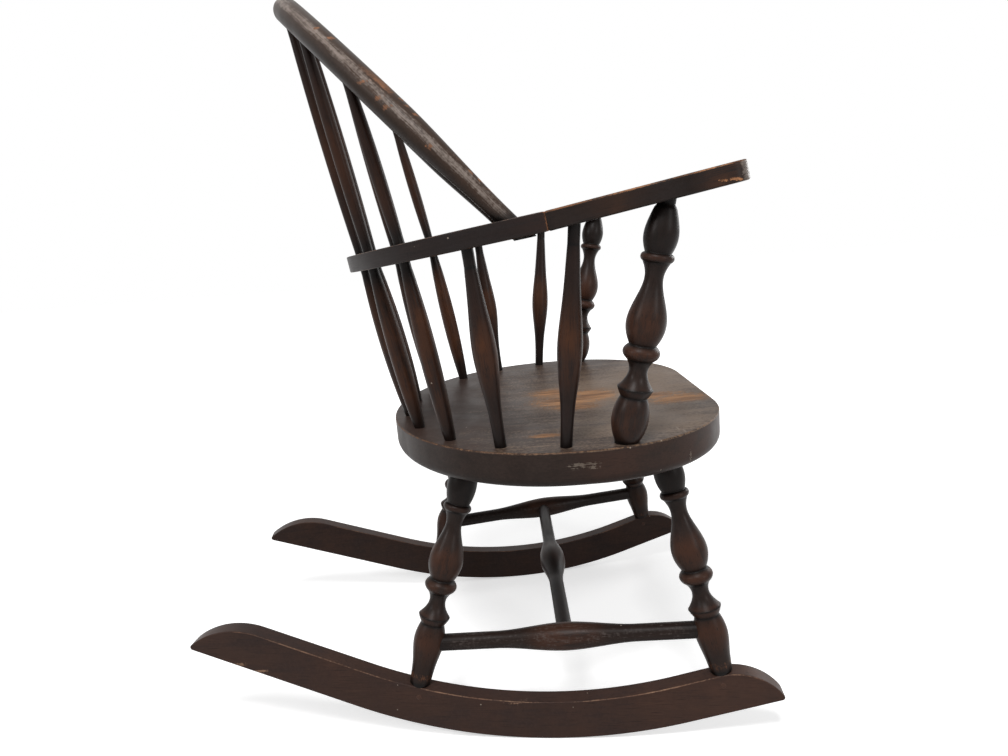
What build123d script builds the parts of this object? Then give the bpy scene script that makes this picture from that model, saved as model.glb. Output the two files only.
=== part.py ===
from build123d import *
import os
from math import atan2, cos, degrees, radians, sin, sqrt, tan

# Hoop back rocking chair for a child. Millimetres, +Z up, floor at z = 0.
# The chair faces -Y and is symmetric about x = 0. "left" is the sitter's left, at +X.
# y = 0 is the middle of the rockers' length. The left side is modelled and then mirrored.

# --- fits ---
socket_clearance = 0.1        # radial gap round each tenon
socket_end_gap = 0.6          # empty depth under each blind tenon
socket_mouth_reach = 4.0      # how far a drill starts outside the face it enters
tenon_root = 6.0              # how far a tenon is rooted inside its own piece

# --- rockers ---
rocker_length = 466.5
rocker_thickness = 14.4
rocker_depth = 31.7
rocker_radius = 418.0         # of the curved middle, at the underside
rocker_front_rise = 15.1      # slope at which the curved middle ends; the ends beyond run straight
rocker_rear_rise = 21.3
rocker_low_point = -53.0      # lowest point, from the middle of the length
rocker_front_nose_radius = 44.0
rocker_rear_nose_radius = 60.0
rocker_tip_radius = 3.0
rocker_edge_radius = 1.5
rocker_half_spacing = 131.4   # centre line to the blade's middle, at the middle of its length
rocker_toe_in = 6.5           # the rear ends come together by this angle
rocker_middle_y = 0.57        # puts the rounded tips at equal distances from y = 0

# --- seat ---
seat_width = 344.0
seat_back_depth = 146.0       # widest line to the back edge
seat_front_depth = 125.5      # widest line to the front edge
seat_corner_radius = 113.0
seat_thickness = 26.4
seat_top_edge_radius = 1.2
seat_under_edge_radius = 8.0
seat_height = 240.5           # top face above the floor, on the widest line
seat_widest_y = -84.4
seat_tilt = 0.5
dish_radius = 112.0
dish_depth = 3.0
dish_setback = -4.0           # dish centre from the widest line

# --- turned pattern shared by legs and arm posts ---
groove_radius = 9.6
collar_radius = 12.4
collar_length = 13.0
collar_edge_height = 9.0      # sharpest part of the collar, above its lower groove
neck_radius = 6.4
neck_length = 13.0
bead_radius = 12.7
bead_length = 10.5
vase_radius = 13.5
vase_length = 57.0
vase_belly_height = 13.0      # widest point of the vase above its lower end
vase_throat_drop = 9.0        # slimmest point of the vase below its upper end
ring_radius = 11.0
ring_length = 4.5
bulb_radius = 11.4
bulb_belly_height = 9.0

# --- legs ---
front_leg_foot_length = 43.5      # rocker to the groove under the collar
rear_leg_foot_length = 49.0
leg_foot_radius = 12.2
leg_foot_belly_drop = 13.0        # widest point of the foot below its groove
leg_calf_radius = 9.8
leg_calf_drop = 31.0
leg_ankle_radius = 8.2
leg_top_radius = 8.6
leg_seat_tenon_radius = 6.0
leg_seat_tenon_length = 15.0
leg_foot_tenon_radius = 4.0
leg_foot_tenon_length = 16.0
leg_foot_inset = 1.2              # foot stands inside the blade's middle, so the slanted tenon stays in it
front_leg_seat_x = 124.0
front_leg_seat_v = -69.0      # from the widest line, along the seat
front_leg_rocker_s = -186.8   # from the middle of the rocker, along it
rear_leg_seat_x = 101.0
rear_leg_seat_v = 81.5
rear_leg_rocker_s = 46.9
rocker_pin_radius = 2.2
rocker_pin_drop = 8.4         # below the blade's top edge

# --- stretchers ---
stretcher_height = 32.0       # above the foot, along the leg
side_stretcher_depth = 8.0    # into each leg
side_stretcher_end_radius = 6.5
side_stretcher_belly_radius = 10.6
side_stretcher_belly_length = 110.0
center_stretcher_depth = 7.0  # into each side stretcher
center_stretcher_end_radius = 6.2
center_stretcher_belly_radius = 11.8
center_stretcher_belly_length = 90.0

# --- back rail ---
rail_radius = 171.0           # of the rail's middle line
rail_width = 24.0
rail_thickness = 12.8
rail_edge_radius = 2.0
rail_center_y = -94.2
rail_center_height = 397.6
rail_tilt = 8.0
rail_seam_angle = 7.0         # the rail ends this far behind its widest line

# --- hoop ---
hoop_half_width = 165.0
hoop_height = 253.5           # foot to crown, in the hoop's own plane
hoop_crown_bend = 106.0
hoop_straight_foot = 19.5
hoop_lean = 42.2
hoop_foot_v = 38.0            # behind the rail's widest line
hoop_foot_rise = 0.33         # the foot's end above the rail's underside
hoop_foot_radius = 6.2
hoop_bow_radius = 9.5
hoop_taper_angle = 20.0       # side bend over which the foot thickens to the bow

# --- arms ---
arm_tilt = 10.0
arm_thickness = 12.8
arm_length = 127.0            # seam to front end
arm_paddle_width = 43.0
arm_flare_start = 55.0        # forward of the seam
arm_flare_end = 86.0
arm_flare_width = 9.0
arm_flare_corner_radius = 8.0
arm_corner_radius = 12.0
arm_edge_radius = 1.6
dowel_radius = 2.5
dowel_in_rail = 6.5
dowel_in_arm = 9.5

# --- arm posts ---
post_foot_length = 33.0
post_foot_radius = 12.7
post_foot_belly_height = 21.0
post_ankle_radius = 8.0
post_bulb_shoulder_radius = 7.8
post_neck_radius = 5.8
post_neck_length = 4.5
post_seat_tenon_radius = 5.0
post_seat_tenon_length = 14.0
post_arm_tenon_radius = 4.0
post_arm_tenon_length = 8.0
post_seat_v = -35.0           # from the seat's widest line
post_arm_x = 168.5
post_arm_reach = 77.0         # forward of the seam

# --- spindles ---
row_inset = 13.5              # spindle row inside the seat's edge
spindle_seat_radius = 4.35
spindle_seat_depth = 13.0
back_spindle_rail_radius = 4.1
back_spindle_rail_length = 22.0   # plain stretch that passes the rail
back_spindle_top_radius = 3.75
back_spindle_top_length = 20.0    # plain stretch that enters the hoop
back_spindle_lower_swell = 7.1
back_spindle_upper_swell = 5.1
arm_spindle_top_radius = 4.15
arm_spindle_top_length = 12.0     # plain stretch that enters the rail or arm
arm_spindle_depth = 8.0
arm_spindle_waist_height = 34.0
arm_spindle_waist_radius = 5.5
arm_spindle_belly_height = 67.0
arm_spindle_belly_radius = 8.65
arm_spindle_shoulder_height = 102.0
arm_spindle_shoulder_radius = 6.4
inner_spindle_offset = 31.0       # at the hoop, from the centre plane
middle_spindle_offset = 78.0
outer_spindle_offset = 122.0
# back spindles: (angle round the seat row, angle round the rail, offset at the hoop)
back_spindle_places = {
    "inner": (80.0, 80.3, inner_spindle_offset),
    "middle": (63.0, 64.0, middle_spindle_offset),
    "outer": (43.0, 46.0, outer_spindle_offset),
}
rear_arm_spindle_seat_angle = 23.3
rear_arm_spindle_rail_angle = 26.3
front_arm_spindle_seat_angle = 2.9
front_arm_spindle_reach = 16.0    # forward of the seam


# --- frames of the slanted parts ---
def tilted_plane(origin, tilt):
    """Board plane whose front rises by the tilt; local X is lateral and local Y runs rearwards."""
    return Plane(origin=origin, x_dir=(1, 0, 0), z_dir=(0, sin(radians(tilt)), cos(radians(tilt))))


def on_circle(radius, angle):
    """Point on a circle round the origin, the angle in degrees."""
    return radius * cos(radians(angle)), radius * sin(radians(angle))


seat_plane = tilted_plane((0, seat_widest_y, seat_height), seat_tilt)
rail_plane = tilted_plane((0, rail_center_y, rail_center_height), rail_tilt)
hoop_plane = Plane(
    origin=rail_plane.from_local_coords((0, hoop_foot_v, hoop_foot_rise - rail_thickness / 2)),
    x_dir=(1, 0, 0),
    z_dir=(0, -cos(radians(hoop_lean)), sin(radians(hoop_lean))),
)
rocker_plane = Plane(
    origin=(rocker_half_spacing, rocker_middle_y, 0),
    x_dir=(-sin(radians(rocker_toe_in)), cos(radians(rocker_toe_in)), 0),
    z_dir=(cos(radians(rocker_toe_in)), sin(radians(rocker_toe_in)), 0),
)
seam_x, seam_v = on_circle(rail_radius, rail_seam_angle)
arm_plane = tilted_plane(rail_plane.from_local_coords((0, seam_v, 0)), arm_tilt)
# the rail's end face: local Z points forward, out of the rail and into the arm
seam_plane = Plane(
    origin=rail_plane.from_local_coords((seam_x, seam_v, 0)),
    x_dir=rail_plane.z_dir,
    z_dir=rail_plane.x_dir * sin(radians(rail_seam_angle)) - rail_plane.y_dir * cos(radians(rail_seam_angle)),
)


# --- shared makers ---
def rod(start, end, radius, before=0.0, after=0.0):
    """Round rod from start to end, carried on past each by the given reach."""
    run = (end - start).normalized()
    length = (end - start).length + before + after
    place = Plane(origin=start - run * before, z_dir=run)
    return place * Cylinder(radius, length, align=(Align.CENTER, Align.CENTER, Align.MIN))


def peg(start, end, radius):
    """Tenon from the shoulder at start to its tip at end."""
    return rod(start, end, radius, before=tenon_root)


def socket(start, end, radius):
    """Blind hole for the tenon with the same shoulder, tip and radius."""
    return rod(start, end, radius + socket_clearance, before=socket_mouth_reach, after=socket_end_gap)


def straight(start, end):
    """Conical run of a turned outline between two (height, radius) points."""
    return Line((start[1], 0, start[0]), (end[1], 0, end[0]))


def curve(*points, level=False):
    """Smooth run of a turned outline through (height, radius) points, level at both ends if asked."""
    places = [(radius, 0, height) for height, radius in points]
    if level:
        return Spline(*places, tangents=[(0, 0, 1), (0, 0, 1)])
    return Spline(*places)


def turned(start, end, outline):
    """Solid of revolution round the line from start to end, from an outline that runs upwards."""
    bottom, top = outline[0] @ 0, outline[-1] @ 1
    cap = Line(top, (0, 0, top.Z))
    core = Line((0, 0, top.Z), (0, 0, bottom.Z))
    base = Line((0, 0, bottom.Z), bottom)
    profile = make_face([*outline, cap, core, base])
    return Plane(origin=start, z_dir=end - start) * revolve(profile, Axis.Z)


def one_solid(shape):
    """The main solid that a cut leaves."""
    return shape.solids().sort_by(SortBy.VOLUME)[-1]


def board(plane, thickness, top=0.0):
    """Wide board in the plane, its upper face at the given height over it."""
    reach = 3 * seat_width
    return plane * Pos(0, 0, top) * Box(reach, reach, thickness, align=(Align.CENTER, Align.CENTER, Align.MAX))


# --- rockers ---
def rocker_rise(side):
    """Upward slope of the straight run at an end; side is -1 front, 1 rear."""
    return rocker_front_rise if side < 0 else rocker_rear_rise


def rocker_arc_point(side, height):
    """Where the curved middle ends, at this height over the underside."""
    along, up = on_circle(rocker_radius - height, side * rocker_rise(side) - 90)
    return Vector(rocker_low_point + along, rocker_radius + up)


def rocker_end_point(side, back, height):
    """Point near an end: back from the tip along its straight run, and height over the underside."""
    run = Vector(*on_circle(1, side * rocker_rise(side))) * side
    rise = Vector(*on_circle(1, side * rocker_rise(side) + 90))
    start = rocker_arc_point(side, 0)
    reach = (side * rocker_length / 2 - start.X) / run.X
    return start + run * (reach - back) + rise * height


def rocker_outline():
    """Blade outline in the rocker's plane: along it and up."""
    edges = []
    for height in (0, rocker_depth):
        lowest = (rocker_low_point, height)
        edges.append(ThreePointArc(rocker_arc_point(-1, height), lowest, rocker_arc_point(1, height)))
    for side, nose_radius in ((-1, rocker_front_nose_radius), (1, rocker_rear_nose_radius)):
        nose_back = sqrt(2 * nose_radius * rocker_depth - rocker_depth**2)
        half_turn = atan2(nose_back, nose_radius - rocker_depth) / 2
        mid_back = nose_back - nose_radius * sin(half_turn)
        mid_height = rocker_depth - nose_radius * (1 - cos(half_turn))
        tip = rocker_end_point(side, 0, 0)
        nose_start = rocker_end_point(side, nose_back, rocker_depth)
        edges.append(Line(rocker_arc_point(side, 0), tip))
        edges.append(Line(rocker_arc_point(side, rocker_depth), nose_start))
        edges.append(ThreePointArc(nose_start, rocker_end_point(side, mid_back, mid_height), tip))
    face = make_face(edges)
    tips = [face.vertices().sort_by(Axis.X)[end] for end in (0, -1)]
    return fillet(tips, rocker_tip_radius)


def rocker_blade(thickness):
    """The left rocker's outline, cut to any thickness."""
    return rocker_plane * extrude(rocker_outline(), amount=thickness / 2, both=True)


def rocker_point(s, drop=0.0, inset=0.0):
    """Point on the blade's top edge at s from its middle, dropped under it and set inwards."""
    side = 1 if s > rocker_low_point else -1
    arc_end = rocker_arc_point(side, rocker_depth)
    if abs(s - rocker_low_point) < abs(arc_end.X - rocker_low_point):
        top = rocker_radius - sqrt((rocker_radius - rocker_depth) ** 2 - (s - rocker_low_point) ** 2)
    else:
        top = arc_end.Y + abs(s - arc_end.X) * tan(radians(rocker_rise(side)))
    return rocker_plane.from_local_coords((s, top - drop, -inset))


def rocker():
    """The left rocker with sockets for two feet and the pins that lock them."""
    blade = rocker_blade(rocker_thickness)
    long_edges = [e for e in blade.edges() if abs((e % 0.5).dot(rocker_plane.z_dir)) < 0.5]
    blade = fillet(long_edges, rocker_edge_radius)
    for place in (front_leg, rear_leg):
        blade -= socket(*leg_foot_tenon(place))
        blade -= pin_hole(place)
    return blade


def pin_ends(place):
    """Outer and inner end of the pin through a foot's tenon."""
    center = rocker_point(place[2], drop=rocker_pin_drop)
    reach = rocker_plane.z_dir * (rocker_thickness / 2)
    return center + reach, center - reach


def pin_hole(place):
    """Hole for a rocker pin, clear through the blade."""
    return rod(*pin_ends(place), rocker_pin_radius + socket_clearance, socket_mouth_reach, socket_mouth_reach)


# --- seat ---
def seat_row(angle):
    """Point of the spindle row on the seat's top face, by its angle round the back."""
    across = (seat_width / 2 - row_inset) * cos(radians(angle))
    back = (seat_back_depth - row_inset) * sin(radians(angle))
    return seat_plane.from_local_coords((across, back, 0))


def seat_blank():
    """Seat board with its rounded outline, dished on top."""
    half = seat_width / 2
    face = make_face([
        EllipticalCenterArc((0, 0), half, seat_back_depth, start_angle=0, arc_size=180),
        Line((half, 0), (half, -seat_front_depth)),
        Line((half, -seat_front_depth), (-half, -seat_front_depth)),
        Line((-half, -seat_front_depth), (-half, 0)),
    ])
    face = fillet(face.vertices().group_by(Axis.Y)[0], seat_corner_radius)
    blank = extrude(face, amount=-seat_thickness)
    blank = fillet(blank.edges().group_by(Axis.Z)[-1], seat_top_edge_radius)
    blank = fillet(blank.edges().group_by(Axis.Z)[0], seat_under_edge_radius)
    sphere_radius = (dish_radius**2 + dish_depth**2) / (2 * dish_depth)
    dish = Pos(0, dish_setback, sphere_radius - dish_depth) * Sphere(sphere_radius)
    return seat_plane * (blank - dish)


def seat():
    """Seat with a socket for each leg, post and spindle of both sides."""
    pegs = [leg_seat_tenon(front_leg), leg_seat_tenon(rear_leg), post_seat_tenon()]
    pegs += [spindle_seat_tenon(*line) for line in spindle_lower_lines().values()]
    result = seat_blank()
    for tenon in pegs:
        hole = socket(*tenon)
        result -= hole
        result -= mirror(hole, about=Plane.YZ)
    return one_solid(result)


# --- legs ---
front_leg = (front_leg_seat_x, front_leg_seat_v, front_leg_rocker_s)
rear_leg = (rear_leg_seat_x, rear_leg_seat_v, rear_leg_rocker_s)


def leg_axis(place):
    """Foot on the rocker's top edge and head on the seat's underside."""
    seat_x, seat_v, rocker_s = place
    foot = rocker_point(rocker_s, inset=leg_foot_inset)
    return foot, seat_plane.from_local_coords((seat_x, seat_v, -seat_thickness))


def leg_foot_length(place):
    """Rocker to the groove under the collar; the front legs are cut shorter there."""
    return front_leg_foot_length if place == front_leg else rear_leg_foot_length


def leg_seat_tenon(place):
    """Shoulder, tip and radius of a leg's upper tenon."""
    foot, head = leg_axis(place)
    run = (head - foot).normalized()
    return head, head + run * leg_seat_tenon_length, leg_seat_tenon_radius


def leg_foot_tenon(place):
    """Shoulder, tip and radius of a leg's lower tenon."""
    foot, head = leg_axis(place)
    run = (head - foot).normalized()
    return foot, foot - run * leg_foot_tenon_length, leg_foot_tenon_radius


def turned_pattern(start):
    """Collar, neck, bead, vase and ring over a foot that ends at start, and the ring's top point."""
    neck_start = start + collar_length
    bead_start = neck_start + neck_length
    vase_start = bead_start + bead_length
    ring_start = vase_start + vase_length
    ring_end = ring_start + ring_length
    belly = vase_start + vase_belly_height
    throat = ring_start - vase_throat_drop
    neck_edge = (neck_radius + collar_radius) / 2
    ring_edge = (neck_radius + ring_radius) / 2
    waist = ((belly + throat) / 2, (vase_radius + neck_radius) / 2)
    outline = [
        curve((start, groove_radius), (start + collar_edge_height, collar_radius), (neck_start, neck_edge)),
        curve((neck_start, neck_edge), (neck_start + neck_length / 2, neck_radius), (bead_start, groove_radius)),
        curve((bead_start, groove_radius), (bead_start + bead_length / 2, bead_radius), (vase_start, groove_radius)),
        curve((vase_start, groove_radius), (belly, vase_radius), waist, (throat, neck_radius),
              (ring_start, ring_edge)),
        curve((ring_start, ring_edge), (ring_start + ring_length / 2, ring_radius), (ring_end, ring_edge)),
    ]
    return outline, (ring_end, ring_edge)


def leg(place):
    """Turned leg from the rocker's top edge to the seat's underside, with both tenons."""
    foot, head = leg_axis(place)
    length = (head - foot).length
    overrun = leg_ankle_radius
    groove = leg_foot_length(place)
    pattern, ring_top = turned_pattern(groove)
    bulb_belly = (ring_top[0] + bulb_belly_height, bulb_radius)
    outline = [
        straight((-overrun, leg_ankle_radius), (0, leg_ankle_radius)),
        curve((0, leg_ankle_radius), (groove - leg_calf_drop, leg_calf_radius),
              (groove - leg_foot_belly_drop, leg_foot_radius), (groove, groove_radius)),
        *pattern,
        curve(ring_top, bulb_belly, (length, leg_top_radius)),
        straight((length, leg_top_radius), (length + overrun, leg_top_radius)),
    ]
    body = turned(foot, head, outline) - rocker_blade(4 * vase_radius) - board(seat_plane, seat_thickness)
    body = one_solid(body) + peg(*leg_seat_tenon(place)) + peg(*leg_foot_tenon(place))
    front, rear, radius = side_stretcher_line()
    if place == front_leg:
        body -= socket(front, front + (front - rear).normalized() * side_stretcher_depth, radius)
    else:
        body -= socket(rear, rear + (rear - front).normalized() * side_stretcher_depth, radius)
    return body - pin_hole(place)


# --- stretchers ---
def side_stretcher_line():
    """Front and rear shoulder of the left side stretcher, at the legs' surfaces, and its end radius."""
    joints = []
    for place in (front_leg, rear_leg):
        foot, head = leg_axis(place)
        joints.append(foot + (head - foot).normalized() * stretcher_height)
    run = (joints[1] - joints[0]).normalized()
    return joints[0] + run * leg_foot_radius, joints[1] - run * leg_foot_radius, side_stretcher_end_radius


def center_stretcher_end():
    """Shoulder of the centre stretcher on the left side stretcher."""
    front, rear, _ = side_stretcher_line()
    middle = (front + rear) / 2
    return Vector(middle.X - side_stretcher_belly_radius, middle.Y, middle.Z)


def stretcher(start, end, depth, end_radius, belly_radius, belly_length):
    """Round bar with a swollen middle; each end runs on by depth into its socket."""
    length = (end - start).length
    first, last = (length - belly_length) / 2, (length + belly_length) / 2
    outline = [
        straight((-depth, end_radius), (first, end_radius)),
        curve((first, end_radius), (length / 2, belly_radius), (last, end_radius), level=True),
        straight((last, end_radius), (length + depth, end_radius)),
    ]
    return turned(start, end, outline)


def side_stretcher():
    """Left side stretcher with the socket for the centre one."""
    front, rear, radius = side_stretcher_line()
    bar = stretcher(front, rear, side_stretcher_depth, radius, side_stretcher_belly_radius,
                    side_stretcher_belly_length)
    end = center_stretcher_end()
    return bar - socket(end, end + Vector(center_stretcher_depth, 0, 0), center_stretcher_end_radius)


def center_stretcher():
    """Stretcher that ties the two side ones."""
    end = center_stretcher_end()
    return stretcher(Vector(-end.X, end.Y, end.Z), end, center_stretcher_depth, center_stretcher_end_radius,
                     center_stretcher_belly_radius, center_stretcher_belly_length)


# --- back rail ---
def rail_point(angle):
    """Point on the rail's middle line, by its angle round the back."""
    return rail_plane.from_local_coords((*on_circle(rail_radius, angle), 0))


def rail_blank():
    """Flat rail bent round the back, between its two end faces."""
    sweep_angle = 180 - 2 * rail_seam_angle
    inner, outer = rail_radius - rail_width / 2, rail_radius + rail_width / 2
    ends = [rail_seam_angle, rail_seam_angle + sweep_angle]
    edges = [CenterArc((0, 0), radius, rail_seam_angle, sweep_angle) for radius in (inner, outer)]
    edges += [Line(on_circle(inner, angle), on_circle(outer, angle)) for angle in ends]
    blank = extrude(make_face(edges), amount=rail_thickness / 2, both=True)
    rims = blank.edges().filter_by(GeomType.CIRCLE)
    return rail_plane * fillet(rims, rail_edge_radius)


def bent_passage(name):
    """Clearance hole through the rail for a back spindle, which bends at the rail's middle."""
    radius = back_spindle_rail_radius + socket_clearance
    seat_end, bend = spindle_lower_lines()[name]
    hoop_end = spindle_upper_lines()[name][1]
    hole = Pos(bend) * Sphere(radius)
    for far_end in (seat_end, hoop_end):
        hole += rod(bend, bend + (far_end - bend).normalized() * rail_width, radius)
    return hole


def back_rail():
    """Rail with holes for the spindles, the hoop's feet and the arm dowels."""
    holes = [socket(*rear_arm_spindle_tenon()), hoop_foot_passage(), dowel_hole()]
    holes += [bent_passage(name) for name in back_spindle_places]
    result = rail_blank()
    for hole in holes:
        result -= hole
        result -= mirror(hole, about=Plane.YZ)
    return one_solid(result)


# --- hoop ---
def hoop_side_bend():
    """Radius of the side bends, which join the straight feet to the crown bend without a corner."""
    rise = hoop_height - hoop_straight_foot
    across = hoop_half_width**2 + rise**2 - 2 * rise * hoop_crown_bend
    return across / (2 * (hoop_half_width - hoop_crown_bend))


def hoop_join_angle():
    """Angle round the side bend, from the foot, at which the crown bend takes over."""
    rise = hoop_height - hoop_straight_foot - hoop_crown_bend
    return degrees(atan2(rise, hoop_side_bend() - hoop_half_width))


def hoop_point(offset):
    """Point on the hoop's middle line at this distance from the centre plane."""
    join_x = hoop_crown_bend * cos(radians(hoop_join_angle()))
    if offset < join_x:
        height = hoop_height - hoop_crown_bend + sqrt(hoop_crown_bend**2 - offset**2)
    else:
        bend = hoop_side_bend()
        height = hoop_straight_foot + sqrt(bend**2 - (offset - hoop_half_width + bend) ** 2)
    return hoop_plane.from_local_coords((offset, height, 0))


def hoop_half():
    """Left half of the hoop: slim straight foot, then a taper up to the thicker bow."""
    bend = hoop_side_bend()
    join = hoop_join_angle()
    side_center = (hoop_half_width - bend, hoop_straight_foot)
    crown_center = (0, hoop_height - hoop_crown_bend)
    foot = Line((hoop_half_width, 0), (hoop_half_width, hoop_straight_foot))
    taper = CenterArc(side_center, bend, 0, hoop_taper_angle)
    side = CenterArc(side_center, bend, hoop_taper_angle, join - hoop_taper_angle)
    crown = CenterArc(crown_center, hoop_crown_bend, join, 90 - join)
    thin, thick = taper ^ 0, taper ^ 1
    half = sweep((foot ^ 0) * Circle(hoop_foot_radius), path=foot)
    ends = [thin * Circle(hoop_foot_radius), thick * Circle(hoop_bow_radius)]
    half += sweep(ends, path=taper, multisection=True)
    half += sweep(thick * Circle(hoop_bow_radius), path=Wire([side, crown]))
    return hoop_plane * half


def hoop_foot_passage():
    """Clearance hole for a hoop foot through the rail."""
    foot = hoop_plane.from_local_coords((hoop_half_width, 0, 0))
    top = hoop_plane.from_local_coords((hoop_half_width, hoop_straight_foot, 0))
    return rod(foot, top, hoop_foot_radius + socket_clearance, before=socket_mouth_reach)


def hoop():
    """Whole bow with a socket for each back spindle."""
    half = hoop_half()
    result = half + mirror(half, about=Plane.YZ)
    for start, end in spindle_upper_lines().values():
        hole = rod(start, end, back_spindle_top_radius + socket_clearance, after=socket_end_gap)
        result -= hole
        result -= mirror(hole, about=Plane.YZ)
    return one_solid(result)


# --- arms ---
def arm_outline():
    """Arm outline in its own plane: offset from the centre plane, and forward of the seam as -Y."""
    inner, outer = seam_x - rail_width / 2, seam_x + rail_width / 2
    swell = outer + arm_flare_width
    palm = swell - arm_paddle_width
    start = rail_width
    flare_start, flare_end = (outer, -arm_flare_start), (swell, -arm_flare_end)
    edges = [
        Line((outer, start), flare_start),
        TangentArc(flare_start, flare_end, tangent=(0, -1)),
        Line(flare_end, (swell, -arm_length)),
        Line((swell, -arm_length), (palm, -arm_length)),
        Line((palm, -arm_length), (palm, -arm_flare_end)),
        Spline((palm, -arm_flare_end), (inner, -arm_flare_start / 2), tangents=[(0, 1), (0, 1)]),
        Line((inner, -arm_flare_start / 2), (inner, start)),
        Line((inner, start), (outer, start)),
    ]
    face = make_face(edges)
    face = fillet(face.vertices().group_by(Axis.Y)[0], arm_corner_radius)
    flare_corner = face.vertices().sort_by_distance(flare_end)[0]
    return fillet(flare_corner, arm_flare_corner_radius)


def arm():
    """Left arm, butted on the rail's end, with sockets for its dowel, post and front spindle."""
    blank = extrude(arm_outline(), amount=arm_thickness / 2, both=True)
    rims = blank.edges().group_by(Axis.Z)[0] + blank.edges().group_by(Axis.Z)[-1]
    blank = arm_plane * fillet(rims, arm_edge_radius)
    blank -= board(seam_plane, 3 * rail_width)
    blank -= dowel_hole()
    blank -= socket(*post_arm_tenon())
    return one_solid(blank - socket(*front_arm_spindle_tenon()))


def dowel_ends():
    """Rear and front end of the dowel that ties the left arm to the rail."""
    return seam_plane.from_local_coords((0, 0, -dowel_in_rail)), seam_plane.from_local_coords((0, 0, dowel_in_arm))


def dowel_hole():
    """Hole for an arm dowel, drilled past both its ends."""
    return rod(*dowel_ends(), dowel_radius + socket_clearance, socket_end_gap, socket_end_gap)


# --- arm posts ---
def post_axis():
    """Foot on the seat's top face and head on the arm's underside."""
    foot = seat_plane.from_local_coords((seat_width / 2 - row_inset, post_seat_v, 0))
    return foot, arm_plane.from_local_coords((post_arm_x, -post_arm_reach, -arm_thickness / 2))


def post_seat_tenon():
    """Shoulder, tip and radius of the post's lower tenon."""
    foot, head = post_axis()
    return foot, foot - (head - foot).normalized() * post_seat_tenon_length, post_seat_tenon_radius


def post_arm_tenon():
    """Shoulder, tip and radius of the post's upper tenon."""
    foot, head = post_axis()
    return head, head + (head - foot).normalized() * post_arm_tenon_length, post_arm_tenon_radius


def arm_post():
    """Turned post from the seat to the left arm, with both tenons."""
    foot, head = post_axis()
    length = (head - foot).length
    overrun = post_neck_radius
    pattern, ring_top = turned_pattern(post_foot_length)
    shoulder = length - post_neck_length
    outline = [
        straight((-overrun, post_ankle_radius), (0, post_ankle_radius)),
        curve((0, post_ankle_radius), (post_foot_belly_height, post_foot_radius),
              (post_foot_length, groove_radius)),
        *pattern,
        curve(ring_top, (ring_top[0] + bulb_belly_height, bulb_radius), (shoulder, post_bulb_shoulder_radius)),
        straight((shoulder, post_bulb_shoulder_radius), (shoulder + post_neck_length / 2, post_neck_radius)),
        straight((shoulder + post_neck_length / 2, post_neck_radius), (length + overrun, post_neck_radius)),
    ]
    body = turned(foot, head, outline)
    body -= board(seat_plane, seat_thickness)
    body -= board(arm_plane, arm_thickness, arm_thickness / 2)
    return one_solid(body) + peg(*post_seat_tenon()) + peg(*post_arm_tenon())


# --- spindles ---
def spindle_lower_lines():
    """Seat point and upper end of the lower stretch of each left spindle, by name."""
    lines = {}
    for name, (seat_angle, rail_angle, _) in back_spindle_places.items():
        lines[name] = (seat_row(seat_angle), rail_point(rail_angle))
    rear_top = rail_plane.from_local_coords(
        (*on_circle(rail_radius, rear_arm_spindle_rail_angle), -rail_thickness / 2))
    front_top = arm_plane.from_local_coords((seam_x, -front_arm_spindle_reach, -arm_thickness / 2))
    lines["arm_rear"] = (seat_row(rear_arm_spindle_seat_angle), rear_top)
    lines["arm_front"] = (seat_row(front_arm_spindle_seat_angle), front_top)
    return lines


def spindle_upper_lines():
    """Rail point and hoop point of the upper stretch of each left back spindle, by name."""
    return {
        name: (rail_point(rail_angle), hoop_point(offset))
        for name, (_, rail_angle, offset) in back_spindle_places.items()
    }


def spindle_seat_tenon(bottom, top):
    """Shoulder, tip and radius of a spindle's end in the seat."""
    return bottom, bottom - (top - bottom).normalized() * spindle_seat_depth, spindle_seat_radius


def rear_arm_spindle_tenon():
    """Shoulder, tip and radius of the rear short spindle's end in the rail."""
    bottom, top = spindle_lower_lines()["arm_rear"]
    return top, top + (top - bottom).normalized() * arm_spindle_depth, arm_spindle_top_radius


def front_arm_spindle_tenon():
    """Shoulder, tip and radius of the front short spindle's end in the arm."""
    bottom, top = spindle_lower_lines()["arm_front"]
    return top, top + (top - bottom).normalized() * arm_spindle_depth, arm_spindle_top_radius


def arm_spindle(name):
    """Short left spindle, swollen at its middle, from the seat up into the rail or arm."""
    bottom, top = spindle_lower_lines()[name]
    length = (top - bottom).length
    plain = length - arm_spindle_top_length
    swell = [
        (arm_spindle_waist_height, arm_spindle_waist_radius),
        (arm_spindle_belly_height, arm_spindle_belly_radius),
        (arm_spindle_shoulder_height, arm_spindle_shoulder_radius),
    ]
    outline = [
        straight((-spindle_seat_depth, spindle_seat_radius), (0, spindle_seat_radius)),
        curve((0, spindle_seat_radius), *swell, (plain, arm_spindle_top_radius)),
        straight((plain, arm_spindle_top_radius), (length + arm_spindle_depth, arm_spindle_top_radius)),
    ]
    return turned(bottom, top, outline)


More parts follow.
